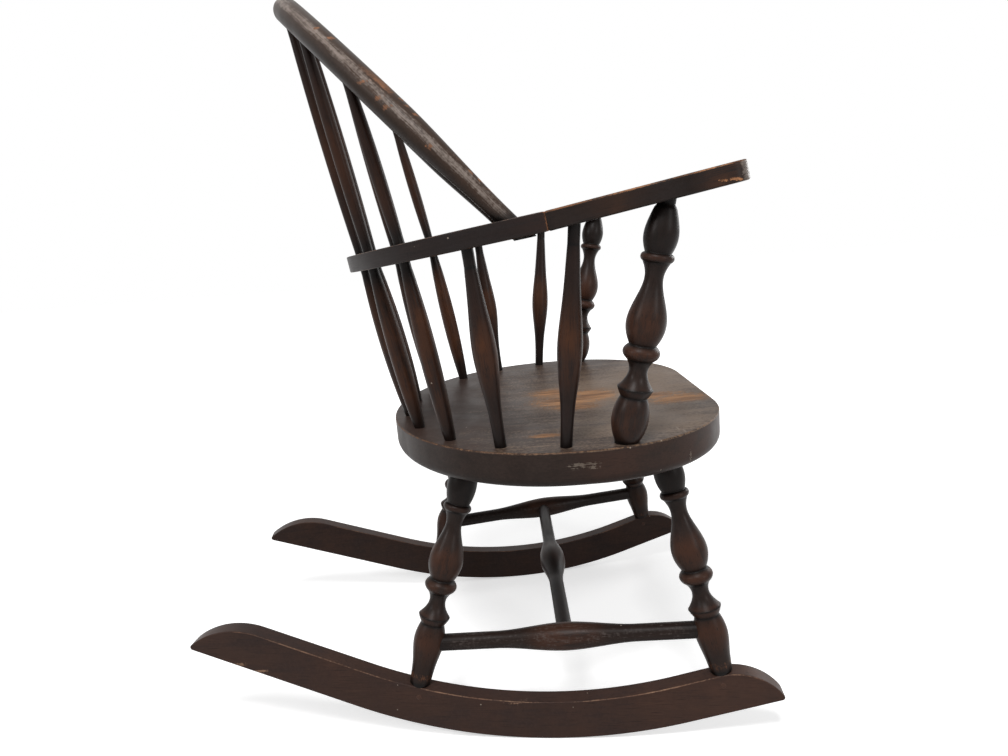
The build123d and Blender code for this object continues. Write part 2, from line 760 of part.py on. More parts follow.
def back_spindle(name):
    """Long left spindle: seat to rail, a slight bend inside the rail, and on up into the hoop."""
    bottom, bend = spindle_lower_lines()[name]
    top = spindle_upper_lines()[name][1]
    lower, upper = (bend - bottom).length, (top - bend).length
    half_plain = back_spindle_rail_length / 2
    lower_outline = [
        straight((-spindle_seat_depth, spindle_seat_radius), (0, spindle_seat_radius)),
        curve((0, spindle_seat_radius), (lower / 2, back_spindle_lower_swell),
              (lower - half_plain, back_spindle_rail_radius)),
        straight((lower - half_plain, back_spindle_rail_radius), (lower, back_spindle_rail_radius)),
    ]
    plain_top = upper - back_spindle_top_length
    upper_outline = [
        straight((0, back_spindle_rail_radius), (half_plain, back_spindle_rail_radius)),
        curve((half_plain, back_spindle_rail_radius), (upper / 2, back_spindle_upper_swell),
              (plain_top, back_spindle_top_radius)),
        straight((plain_top, back_spindle_top_radius), (upper, back_spindle_top_radius)),
    ]
    bend_ball = Pos(bend) * Sphere(back_spindle_rail_radius)
    return turned(bottom, bend, lower_outline) + turned(bend, top, upper_outline) + bend_ball


# --- the whole chair ---
def left_pieces():
    """Each left-hand piece by the start of its name."""
    pieces = {
        "rocker": rocker(),
        "leg_front": leg(front_leg),
        "leg_rear": leg(rear_leg),
        "side_stretcher": side_stretcher(),
        "arm": arm(),
        "arm_post": arm_post(),
        "arm_spindle_front": arm_spindle("arm_front"),
        "arm_spindle_rear": arm_spindle("arm_rear"),
    }
    for name in back_spindle_places:
        pieces["back_spindle_" + name] = back_spindle(name)
    return pieces


def both_sides(piece):
    """A left piece and its mirror image as one group of separate solids."""
    return Compound([*piece.solids(), *mirror(piece, about=Plane.YZ).solids()])


def write(piece, name):
    """Save one piece as parts/NAME.step."""
    export_step(piece, "parts/" + name + ".step")


def main():
    os.makedirs("parts", exist_ok=True)
    for name, piece in left_pieces().items():
        write(piece, name + "_left")
        write(mirror(piece, about=Plane.YZ), name + "_right")
    write(seat(), "seat")
    write(center_stretcher(), "center_stretcher")
    write(back_rail(), "back_rail")
    write(hoop(), "hoop")
    pins = [rod(*pin_ends(place), rocker_pin_radius) for place in (front_leg, rear_leg)]
    write(both_sides(Compound(pins)), "rocker_pins")
    write(both_sides(rod(*dowel_ends(), dowel_radius)), "arm_dowels")


main()
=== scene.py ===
import logging
from dataclasses import dataclass, field
from enum import Enum
from math import atan2, cos, degrees, exp, pi, radians, sin, sqrt, tan
from typing import Callable

import bmesh
import bpy
import numpy as np
from mathutils import Matrix, Vector

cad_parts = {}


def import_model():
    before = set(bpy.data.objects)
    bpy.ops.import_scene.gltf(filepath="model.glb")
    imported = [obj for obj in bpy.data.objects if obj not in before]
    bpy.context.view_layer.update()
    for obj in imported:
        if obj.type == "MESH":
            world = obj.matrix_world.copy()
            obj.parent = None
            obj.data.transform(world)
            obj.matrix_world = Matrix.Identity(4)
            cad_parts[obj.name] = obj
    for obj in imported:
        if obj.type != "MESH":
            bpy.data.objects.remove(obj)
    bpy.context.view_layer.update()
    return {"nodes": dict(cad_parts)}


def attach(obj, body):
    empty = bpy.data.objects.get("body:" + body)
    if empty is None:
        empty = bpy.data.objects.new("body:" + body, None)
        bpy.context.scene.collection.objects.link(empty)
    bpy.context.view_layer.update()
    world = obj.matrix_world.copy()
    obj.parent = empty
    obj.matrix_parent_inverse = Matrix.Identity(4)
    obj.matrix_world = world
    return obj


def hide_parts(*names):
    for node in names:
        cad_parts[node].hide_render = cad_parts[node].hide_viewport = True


# A child's hoop back rocking chair in stained wood. Sizes are millimetres, in the frame of the CAD part:
# +Z up, floor at z = 0, the sitter faces -Y. Meshes are made in metres.
MM = 0.001
GRIME_AND_SHADE = "0D0A09"          # colour of dirt and of painted shade in creases, under and behind parts
CHIP = "A89A8C"           # colour of small chips and scuffs
SHEEN = 0.1               # specular level; a higher one greys the dark stain under white surroundings
EDGE_STEPS = 6            # steps round a board's rounded edge
EDGE_STRIP = 0.4          # flat strip beside a rounded edge, mm, which keeps the faces' shading flat
log = logging.getLogger("rocking_chair")

Socket = bpy.types.NodeSocket
Pair = tuple[float, float]
Triple = tuple[float, float, float]
Run = list[Pair]          # (height, radius) points of a turned outline
Outline = list[Pair]      # corner points of a board's outline, counter-clockwise
Place = tuple[float, float, float, float, float]     # x, y, z, reach across the chair, reach along it
Spot = tuple[float, float, float, float, float]      # centre in two directions, reach in both, strength


class Side(Enum):
    """The two sides of the chair, with the sign of X."""

    LEFT = 1
    RIGHT = -1

    @property
    def label(self) -> str:
        """The side's name as it stands in node names."""
        return self.name.lower()

    def place(self, point: Vector) -> Vector:
        """The point on this side, from the one on the left."""
        return Vector((point.x * self.value, point.y, point.z))


class Section(Enum):
    """Cross-section of a piece that follows a path."""

    ROUND = "round"
    BOARD = "board"


class LegPlace(Enum):
    """Which leg of a side."""

    FRONT = "front"
    REAR = "rear"


# --- places and curves ---
@dataclass(frozen=True)
class Axes:
    """An origin with three directions, in which a slanted piece is laid out.

    Args:
        origin: where the piece's own zero is.
        across: direction of its first size.
        along: direction of its second size.
        up: direction of its thickness.
    """

    origin: Vector
    across: Vector
    along: Vector
    up: Vector

    def at(self, across: float, along: float, up: float = 0.0) -> Vector:
        """The point with these three coordinates."""
        return self.origin + self.across * across + self.along * along + self.up * up

    def local(self, point: Vector) -> Triple:
        """The three coordinates of a point."""
        away = point - self.origin
        return away.dot(self.across), away.dot(self.along), away.dot(self.up)

    @classmethod
    def tilted(cls, origin: Vector, tilt: float) -> "Axes":
        """Axes of a board whose front rises by the tilt in degrees; along runs rearwards."""
        lean = radians(tilt)
        return cls(origin, Vector((1, 0, 0)), Vector((0, cos(lean), -sin(lean))), Vector((0, sin(lean), cos(lean))))


def on_circle(radius: float, angle: float) -> Pair:
    """Point on a circle round the origin, the angle in degrees."""
    return radius * cos(radians(angle)), radius * sin(radians(angle))


def ease(value: float, low: float, high: float) -> float:
    """Smooth step from 0 at low to 1 at high."""
    t = min(1.0, max(0.0, (value - low) / (high - low)))
    return t * t * (3 - 2 * t)


def hump(value: float, centre: float, reach: float) -> float:
    """Smooth hump: 1 at the centre, near 0 beyond twice the reach."""
    return exp(-((value - centre) / reach) ** 2)


def spotted(u: float, v: float, spots: tuple[Spot, ...]) -> float:
    """Summed strength of soft spots at a point."""
    return sum(a * exp(-((u - cu) / ru) ** 2 - ((v - cv) / rv) ** 2) for cu, cv, ru, rv, a in spots)


def between(start: Vector, end: Vector, count: int) -> list[Vector]:
    """Points that split the way from start to end in count - 1 equal steps, without those two."""
    return [start.lerp(end, t) for t in np.linspace(0, 1, count)[1:-1]]


def joined(runs: list[Run]) -> Run:
    """The points of several runs as one run, with each joint once."""
    return runs[0] + [point for run in runs[1:] for point in run[1:]]


def line_run(start: Pair, end: Pair, step: float = 1.5) -> Run:
    """Points of a straight run of an outline, both ends included, at most a step apart."""
    count = max(2, int(np.hypot(end[0] - start[0], end[1] - start[1]) / step) + 2)
    return [tuple(p) for p in np.linspace(start, end, count)]


def spline_run(*points: Pair, level: bool = False, step: float = 0.7) -> Run:
    """Points of a smooth run of an outline, a cubic spline through the given ones.

    Args:
        points: the (height, radius) points that the run passes.
        level: whether the run ends parallel to the axis at both ends.
        step: distance between the returned points.

    Returns:
        The points, both ends included.
    """
    knots = np.array(points, float)
    spans = np.hypot(*np.diff(knots, axis=0).T)
    rates = np.diff(knots, axis=0) / spans[:, None]
    last = len(points) - 1
    if level:
        first_slope = last_slope = np.array([1.0, 0.0])
    else:
        first_slope = end_slope(rates[0], rates[1], spans[0], spans[1])
        last_slope = end_slope(rates[-1], rates[-2], spans[-1], spans[-2])
    matrix = np.eye(last + 1)
    right = np.zeros((last + 1, 2))
    right[0], right[last] = first_slope, last_slope
    for i in range(1, last):
        before, after = spans[i - 1], spans[i]
        matrix[i, i - 1:i + 2] = [1 / before, 2 / before + 2 / after, 1 / after]
        right[i] = 3 * (rates[i - 1] / before + rates[i] / after)
    slopes = np.linalg.solve(matrix, right)
    result = []
    for i, span in enumerate(spans):
        count = max(3, int(span / step) + 1)
        for t in np.linspace(0, 1, count + 1)[: None if i == last - 1 else -1]:
            a, b = 2 * t**3 - 3 * t**2 + 1, t**3 - 2 * t**2 + t
            c, d = -2 * t**3 + 3 * t**2, t**3 - t**2
            place = a * knots[i] + b * span * slopes[i] + c * knots[i + 1] + d * span * slopes[i + 1]
            result.append(tuple(place))
    return result


def end_slope(near: np.ndarray, far: np.ndarray, near_span: float, far_span: float) -> np.ndarray:
    """Slope at the end of a spline, from the parabola through its last three points."""
    return near + (near - far) * near_span / (near_span + far_span)


def rounded_corner(before: Vector, corner: Vector, after: Vector, radius: float, count: int = 10) -> list[Vector]:
    """Points of the arc that rounds one corner of a flat outline.

    Args:
        before: a point on the edge that comes in.
        corner: the sharp corner.
        after: a point on the edge that leaves.
        radius: radius of the arc.
        count: number of points less one.

    Returns:
        The points from one edge to the other.
    """
    back, ahead = (before - corner).normalized(), (after - corner).normalized()
    half = back.angle(ahead) / 2
    centre = corner + (back + ahead).normalized() * (radius / sin(half))
    start, end = corner + back * (radius / tan(half)) - centre, corner + ahead * (radius / tan(half)) - centre
    return [centre + start.slerp(end, i / count).normalized() * radius for i in range(count + 1)]


# --- finishes ---
class Nodes:
    """Short ways to add and link nodes in a tree."""

    def __init__(self, tree: bpy.types.NodeTree) -> None:
        """Work in this tree."""
        self.tree = tree

    @classmethod
    def of(cls, owner: bpy.types.Material | bpy.types.World) -> "Nodes":
        """The nodes of a material or world, which starts out empty.

        Args:
            owner: the material or world.

        Returns:
            Its nodes.
        """
        owner.use_nodes = True
        owner.node_tree.nodes.clear()
        return cls(owner.node_tree)

    def add(self, kind: str, **inputs: object) -> bpy.types.Node:
        """A new node with some of its inputs set or linked.

        Args:
            kind: the node's type name.
            inputs: input names with underscores for spaces, or attributes of the node.

        Returns:
            The node.
        """
        node = self.tree.nodes.new(kind)
        for name, value in inputs.items():
            if hasattr(node, name) and name not in node.inputs:
                setattr(node, name, value)
                continue
            spaced = name.replace("_", " ")
            self.set(node, spaced if spaced in node.inputs else name, value)
        return node

    def set(self, node: bpy.types.Node, name: str | int, value: object) -> None:
        """Set or link one input of a node.

        Args:
            node: the node.
            name: the input's name or number.
            value: a constant, or the output to link.
        """
        socket = node.inputs[name]
        if isinstance(value, Socket):
            self.tree.links.new(value, socket)
        else:
            socket.default_value = value

    def math(self, operation: str, a: object, b: object = 0.0, clamp: bool = False) -> Socket:
        """Result of a math node.

        Args:
            operation: what the node does.
            a: first value.
            b: second value.
            clamp: whether the result is held between 0 and 1.

        Returns:
            The result.
        """
        node = self.tree.nodes.new("ShaderNodeMath")
        node.operation = operation
        node.use_clamp = clamp
        self.set(node, 0, a)
        self.set(node, 1, b)
        return node.outputs[0]

    def weighted(self, *parts: tuple[object, float]) -> Socket:
        """Sum of values, each times its share.

        Args:
            parts: each value with its share.

        Returns:
            The sum.
        """
        terms = [self.math("MULTIPLY", value, share) for value, share in parts]
        result = terms[0]
        for term in terms[1:]:
            result = self.math("ADD", result, term)
        return result

    def remap(self, value: object, low: float, high: float, to_low: float = 0.0, to_high: float = 1.0) -> Socket:
        """Value moved smoothly from one range to another and held inside it.

        Args:
            value: the value.
            low: what becomes to_low.
            high: what becomes to_high.
            to_low: start of the new range.
            to_high: end of the new range.

        Returns:
            The new value.
        """
        node = self.add("ShaderNodeMapRange", interpolation_type="SMOOTHSTEP")
        for index, item in enumerate((value, low, high, to_low, to_high)):
            self.set(node, index, item)
        return node.outputs[0]

    def mix(self, share: object, first: object, second: object) -> Socket:
        """Colour mixed from two by a share.

        Args:
            share: 0 for the first colour alone, 1 for the second.
            first: a colour.
            second: another colour.

        Returns:
            The colour.
        """
        share_input, first_input, second_input, colour_output = 0, 6, 7, 2
        node = self.add("ShaderNodeMix", data_type="RGBA")
        for index, item in ((share_input, share), (first_input, first), (second_input, second)):
            self.set(node, index, item)
        return node.outputs[colour_output]

    def attribute(self, name: str, output: str = "Fac") -> Socket:
        """A value stored in the piece's mesh, or 0 where it has none."""
        return self.add("ShaderNodeAttribute", attribute_name=name).outputs[output]

    def noise(self, place: object, scale: Triple, detail: float = 3.0, roughness: float = 0.55,
              offset: Triple = (0, 0, 0)) -> Socket:
        """Noise in the range 0 to 1 whose cells have the given size.

        Args:
            place: the coordinates.
            scale: cells per metre along each axis.
            detail: octaves.
            roughness: how strong the finer octaves are.
            offset: shift of the pattern.

        Returns:
            The noise value.
        """
        mapping = self.add("ShaderNodeMapping", Vector=place, Location=offset, Scale=scale)
        node = self.add("ShaderNodeTexNoise", Vector=mapping.outputs[0], Scale=1.0, Detail=detail,
                        Roughness=roughness)
        return node.outputs["Fac"]


def linear(code: str) -> tuple[float, float, float, float]:
    """Linear colour with alpha from a hex colour code."""
    parts = [int(code[i:i + 2], 16) / 255 for i in (0, 2, 4)]
    return (*[p / 12.92 if p <= 0.04045 else ((p + 0.055) / 1.055) ** 2.4 for p in parts], 1.0)


@dataclass(frozen=True)
class WoodNoise:
    """Patterns that a wood's colours, wear and bumps share.

    Args:
        grain: the piece's stored grain coordinates.
        place: the point's place on the chair.
        fine: fibres along the grain.
        broad: broad bands along the grain.
        patch: soft patches over the chair.
        grit: grit over the chair.
        streak: dark and light streaks, from fibres and bands.
        ragged: what breaks up the edges of bare places and chips.
    """

    grain: Socket
    place: Socket
    fine: Socket
    broad: Socket
    patch: Socket
    grit: Socket
    streak: Socket
    ragged: Socket


@dataclass(frozen=True)
class StainedWood:
    """Dark satin stain over wood, thinner where hands and feet have rubbed it.

    Args:
        name: the material's name.
        slot: name of a material slot; not used.
        dark: stain at its thickest, in joints and hollows.
        stain: the usual stain.
        warm: stain thinned by wear.
        bare: wood where the stain has gone.
        painted_sheen: colour of the painted sheen, a pale layer that stands in for light reflected from the top faces.
        fibre: spacing of the fine grain, mm.
        figure: spacing of the broad grain, mm.
        gloss: roughness of the finish.
        relief: height of the grain's bumps, mm.
        mottle: how far the tone wanders from place to place.
        bare_places: places worn to the wood, as x, y, z and reach across and along the chair, mm.
        pale_places: small pale chips and scuffs.
        ragged: how much the grain breaks up the bare places.
        fibre_run: length of the fibres over their width.
        figure_run: length of the broad grain over its width.
    """

    name: str
    slot: str
    dark: str
    stain: str
    warm: str
    bare: str
    painted_sheen: str = "8C837B"
    fibre: float = 0.7
    figure: float = 7.0
    gloss: float = 0.42
    relief: float = 0.05
    mottle: float = 0.8
    bare_places: tuple[Place, ...] = ()
    pale_places: tuple[Place, ...] = ()
    ragged: float = 2.6
    fibre_run: float = 28.0
    figure_run: float = 9.0

    def build(self) -> bpy.types.Material:
        """The material, made of nodes that read the piece's stored grain and wear.

        Returns:
            The material.
        """
        material = bpy.data.materials.new(self.name)
        n = Nodes.of(material)
        noise = self.noises(n)
        # painted sheen: a pale layer mixed in where the stored value says, standing in for reflected light
        sheen_share = n.math("MULTIPLY", self.rubbed(n, noise, "painted_sheen"), 0.75)
        colour = n.mix(sheen_share, self.stained(n, noise), linear(self.painted_sheen))
        bared = n.math("MAXIMUM", self.rubbed(n, noise, "rub"), self.near(n, noise, self.bare_places, self.ragged))
        wood = n.mix(n.math("MULTIPLY", noise.streak, 0.8), linear(self.bare), linear(self.warm))
        colour = self.soiled_and_shaded(n, noise, n.mix(bared, colour, wood))
        uneven = n.weighted((n.remap(noise.patch, 0.3, 0.7), 0.1), (noise.fine, 0.12), (bared, 0.2))
        rough = n.math("ADD", self.gloss - 0.08, uneven, clamp=True)
        height = n.weighted((noise.fine, 0.6), (noise.grit, 0.4))
        bump = n.add("ShaderNodeBump", Height=height, Strength=0.35, Distance=self.relief * MM)
        shader = n.add("ShaderNodeBsdfPrincipled", Base_Color=colour, Roughness=rough, Normal=bump.outputs[0])
        shader.inputs["Specular IOR Level"].default_value = SHEEN
        n.add("ShaderNodeOutputMaterial", Surface=shader.outputs[0])
        return material

    def noises(self, n: Nodes) -> WoodNoise:
        """The patterns in this wood.

        Args:
            n: the material's nodes.

        Returns:
            The patterns.
        """
        grain = n.attribute("grain", "Vector")
        place = n.add("ShaderNodeTexCoord").outputs["Object"]
        fine = n.noise(grain, (1000 / self.fibre, 1000 / self.fibre, 1000 / (self.fibre * self.fibre_run)), 4.0, 0.6)
        broad = n.noise(grain, (1000 / self.figure, 1000 / self.figure, 1000 / (self.figure * self.figure_run)),
                        3.0, 0.5, (3, 7, 1))
        patch = n.noise(place, (28, 28, 28), 3.0, 0.6, (5, 2, 9))
        grit = n.noise(place, (420, 420, 420), 3.0, 0.65, (1, 4, 2))
        streak = n.remap(n.weighted((fine, 0.45), (broad, 0.55)), 0.39, 0.61)
        return WoodNoise(grain, place, fine, broad, patch, grit, streak, n.weighted((fine, 0.5), (grit, 0.5)))

    def stained(self, n: Nodes, noise: WoodNoise) -> Socket:
        """Colour of the stain, darker in places and warmer where it is thin.

        Args:
            n: the material's nodes.
            noise: the wood's patterns.

        Returns:
            The colour.
        """
        tone = n.weighted((noise.streak, 0.5), (n.remap(noise.patch, 0.35, 0.65), 0.3),
                          (n.remap(noise.grit, 0.35, 0.65), 0.2))
        thick = n.mix(n.math("MULTIPLY", tone, self.mottle), linear(self.stain), linear(self.dark))
        thin = n.mix(n.remap(noise.streak, 0.0, 1.0, 0.0, 0.6), linear(self.warm), linear(self.stain))
        uneven = n.remap(n.weighted((noise.patch, 0.9), (noise.streak, 0.35)), 0.35, 0.85)
        return n.mix(n.math("MULTIPLY", n.attribute("wear"), uneven, clamp=True), thick, thin)

    def rubbed(self, n: Nodes, noise: WoodNoise, key: str) -> Socket:
        """Share of a rub, or of the painted sheen: the stored value sets how much of the grain and grit it takes.

        Args:
            n: the material's nodes.
            noise: the wood's patterns.
            key: name of the stored value.

        Returns:
            0 where there is none, 1 where it covers the stain.
        """
        pattern = n.weighted((noise.fine, 0.4), (noise.grit, 0.35), (noise.broad, 0.25))
        edge = n.math("SUBTRACT", n.math("ADD", pattern, n.attribute(key)), 0.82)
        return n.remap(edge, 0.0, 0.22)

    def near(self, n: Nodes, noise: WoodNoise, places: tuple[Place, ...], ragged: float) -> Socket | float:
        """Share by which a point belongs to one of some worn places.

        Args:
            n: the material's nodes.
            noise: the wood's patterns.
            places: the worn places.
            ragged: how much the grain and grit break up their edges.

        Returns:
            1 inside a place, 0 away from all of them.
        """
        nearest: Socket | None = None
        for x, y, z, across, along in places:
            scale = (1000 / across, 1000 / along, 1000 / across)
            shift = tuple(-c * MM * k for c, k in zip((x, y, z), scale))
            moved = n.add("ShaderNodeMapping", Vector=noise.place, Location=shift, Scale=scale).outputs[0]
            away = n.add("ShaderNodeVectorMath", operation="LENGTH", Vector=moved).outputs["Value"]
            nearest = away if nearest is None else n.math("MINIMUM", nearest, away)
        if nearest is None:
            return 0.0
        uneven = n.math("MULTIPLY", n.math("SUBTRACT", noise.ragged, 0.5), ragged * 2)
        return n.remap(n.math("ADD", nearest, uneven), 1.15, 0.45)

    def soiled_and_shaded(self, n: Nodes, noise: WoodNoise, colour: Socket) -> Socket:
        """Colour with open pores, soil and painted shade in the creases and under parts, and pale chips over it.

        Args:
            n: the material's nodes.
            noise: the wood's patterns.
            colour: the colour under them.

        Returns:
            The colour.
        """
        pores = n.remap(n.noise(noise.grain, (1500, 1500, 60), 2.0, 0.5, (8, 1, 3)), 0.6, 0.72)
        colour = n.mix(n.math("MULTIPLY", pores, 0.55), colour, linear(self.dark))
        # darkening from the stored value: dirt, and painted shade in creases and under and behind parts
        dirt_and_shade = n.math("MULTIPLY", n.attribute("grime_and_shade"), n.remap(noise.grit, 0.2, 0.6, 0.75, 1.0))
        colour = n.mix(dirt_and_shade, colour, linear(GRIME_AND_SHADE))
        chips = n.math("MULTIPLY", self.near(n, noise, self.pale_places, 4.0), 0.28)
        return n.mix(n.math("MAXIMUM", self.specks(n, noise.place), chips), colour, linear(CHIP))

    def specks(self, n: Nodes, place: Socket) -> Socket:
        """A few tiny pale specks, strewn at random.

        Args:
            n: the material's nodes.
            place: the point's place on the chair.

        Returns:
            How strongly a point shows one.
        """
        cells = n.add("ShaderNodeTexVoronoi", Vector=place, Scale=130.0)
        lot = n.add("ShaderNodeSeparateColor", Color=cells.outputs["Color"]).outputs[0]
        dot = n.remap(cells.outputs["Distance"], 0.10, 0.05)
        return n.math("MULTIPLY", n.math("MULTIPLY", n.math("GREATER_THAN", lot, 0.95), dot), 0.6)


# --- meshes ---
def placed(name: str, data: bpy.types.ID) -> bpy.types.Object:
    """A new object in the scene.

    Args:
        name: the object's name.
        data: its mesh, lamp or camera.

    Returns:
        The object.
    """
    thing = bpy.data.objects.new(name, data)
    bpy.context.scene.collection.objects.link(thing)
    return thing


def board_loops(outline: Outline, thickness: float, edge: float, under_edge: float,
                rings: int) -> list[tuple[np.ndarray, float, float]]:
    """Loops of points over a board with rounded edges, from the upper face to the lower one.

    Args:
        outline: the board's corner points, counter-clockwise.
        thickness: from face to face.
        edge: radius of the upper edge.
        under_edge: radius of the lower edge.
        rings: loops across the upper face.

    Returns:
        Each loop's points, their height over the middle plane, and how worn they are.
    """
    points, half = np.array(outline), thickness / 2
    ahead, behind = np.roll(points, -1, axis=0), np.roll(points, 1, axis=0)
    tangent = (ahead - behind) / np.linalg.norm(ahead - behind, axis=1)[:, None]
    inward = np.stack([-tangent[:, 1], tangent[:, 0]], axis=1)
    middle, rim = points.mean(axis=0), points + inward * (edge + 1.0)
    loops = [(middle + (rim - middle) * ((i + 1) / (rings + 1)), half, 0.0) for i in range(rings)]
    loops.append((points + inward * (edge + EDGE_STRIP), half, 0.0))
    for i in range(EDGE_STEPS + 1):
        turn = pi / 2 * i / EDGE_STEPS
        worn = min(1.0, 1.7 * sin(2 * turn))
        loops.append((points + inward * edge * (1 - sin(turn)), half - edge * (1 - cos(turn)), worn))
    loops.append((points.copy(), half - edge - EDGE_STRIP, 0.0))
    loops.append((points.copy(), -half + under_edge + EDGE_STRIP, 0.0))
    for i in range(EDGE_STEPS + 1):
        turn = pi / 2 * (1 - i / EDGE_STEPS)
        worn = sin(2 * turn) * min(1.0, 2.5 / under_edge)
        loops.append((points + inward * under_edge * (1 - sin(turn)), -half + under_edge * (1 - cos(turn)), worn))
    loops.append((points + inward * (under_edge + EDGE_STRIP), -half, 0.0))
    return loops


class SweepTrees:
    """Holder of the Geometry Nodes trees that sweep a section along a path."""

    def __init__(self) -> None:
        """Start without trees."""
        self.trees: dict[Section, bpy.types.NodeTree] = {}

    def tree(self, section: Section) -> bpy.types.NodeTree:
        """The tree for a section, made on first use.

        Args:
            section: the cross-section.

        Returns:
            The tree.
        """
        if section not in self.trees:
            self.trees[section] = self.make_tree(section)
        return self.trees[section]

    def name_sockets(self, tree: bpy.types.NodeTree, section: Section) -> None:
        """Name a tree's inputs and output.

        Args:
            tree: the tree.
            section: round for turned work, board for the bent rail.
        """
        sizes = {"Facets": "Int"}
        if section is Section.BOARD:
            sizes = {"Width": "Float", "Thickness": "Float", "Edge Radius": "Float", "Board Normal": "Vector"}
        inputs = {"Path": "Geometry", **sizes, "Grain Start": "Vector", "Finish": "Material"}
        for name, kind in inputs.items():
            tree.interface.new_socket(name, in_out="INPUT", socket_type="NodeSocket" + kind)
        tree.interface.new_socket("Piece", in_out="OUTPUT", socket_type="NodeSocketGeometry")

    def make_tree(self, section: Section) -> bpy.types.NodeTree:
        """A tree that sweeps a section along the piece's path and stores the grain's coordinates.

        Args:
            section: round for turned work, board for the bent rail.

        Returns:
            The tree. Its inputs are the section's sizes, the grain's start and the material.
        """
        tree = bpy.data.node_groups.new(section.value + "_piece_along_path", "GeometryNodeTree")
        self.name_sockets(tree, section)
        n = Nodes(tree)
        given = n.add("NodeGroupInput").outputs
        path = n.add("GeometryNodeMeshToCurve", Mesh=given["Path"]).outputs[0]
        path = n.add("GeometryNodeSetCurveRadius", Curve=path, Radius=1.0).outputs[0]
        if section is Section.ROUND:
            profile = n.add("GeometryNodeCurvePrimitiveCircle", Resolution=given["Facets"], Radius=1.0).outputs[0]
        else:
            path = n.add("GeometryNodeSetCurveNormal", mode="FREE", Curve=path,
                         Normal=given["Board Normal"]).outputs[0]
            plain = n.add("GeometryNodeCurvePrimitiveQuadrilateral", Width=given["Thickness"], Height=given["Width"])
            profile = n.add("GeometryNodeFilletCurve", mode="POLY", Curve=plain.outputs[0], Count=5,
                            Radius=given["Edge Radius"]).outputs[0]
        length = n.add("GeometryNodeSplineParameter").outputs["Length"]
        path, along = self.capture(n, path, length, "FLOAT")
        profile, around = self.capture(n, profile, n.add("GeometryNodeInputPosition").outputs[0], "VECTOR")
        size = n.add("GeometryNodeInputNamedAttribute", data_type="FLOAT", Name="radius_here").outputs[0]
        sweep = n.add("GeometryNodeCurveToMesh", Curve=path, Profile_Curve=profile, Scale=size, Fill_Caps=True)
        scaled = n.add("ShaderNodeVectorMath", operation="SCALE", Vector=around, Scale=size).outputs[0]
        run = n.add("ShaderNodeCombineXYZ", Z=along).outputs[0]
        place = self.total(n, scaled, run, given["Grain Start"])
        stored = n.add("GeometryNodeStoreNamedAttribute", data_type="FLOAT_VECTOR", domain="POINT",
                       Geometry=sweep.outputs[0], Name="grain", Value=place).outputs[0]
        smooth = n.add("GeometryNodeSetShadeSmooth", Geometry=stored, Shade_Smooth=True).outputs[0]
        real = n.add("GeometryNodeRealizeInstances", Geometry=smooth).outputs[0]
        dressed = n.add("GeometryNodeSetMaterial", Geometry=real, Material=given["Finish"]).outputs[0]
        n.add("NodeGroupOutput", Piece=dressed)
        return tree

    def capture(self, n: Nodes, geometry: Socket, value: Socket, kind: str) -> tuple[Socket, Socket]:
        """Keep a value on the points of a curve for use on the swept mesh.

        Args:
            n: the tree's nodes.
            geometry: the curve.
            value: what to keep.
            kind: the value's type.

        Returns:
            The curve, and the kept value.
        """
        node = n.add("GeometryNodeCaptureAttribute", domain="POINT", Geometry=geometry)
        node.capture_items.new(kind, "Kept")
        n.set(node, 1, value)
        return node.outputs[0], node.outputs[1]

    def total(self, n: Nodes, *vectors: Socket) -> Socket:
        """Sum of vectors.

        Args:
            n: the tree's nodes.
            vectors: what to add up.

        Returns:
            The sum.
        """
        result = vectors[0]
        for vector in vectors[1:]:
            node = n.add("ShaderNodeVectorMath", operation="ADD")
            n.set(node, 0, result)
            n.set(node, 1, vector)
            result = node.outputs[0]
        return result


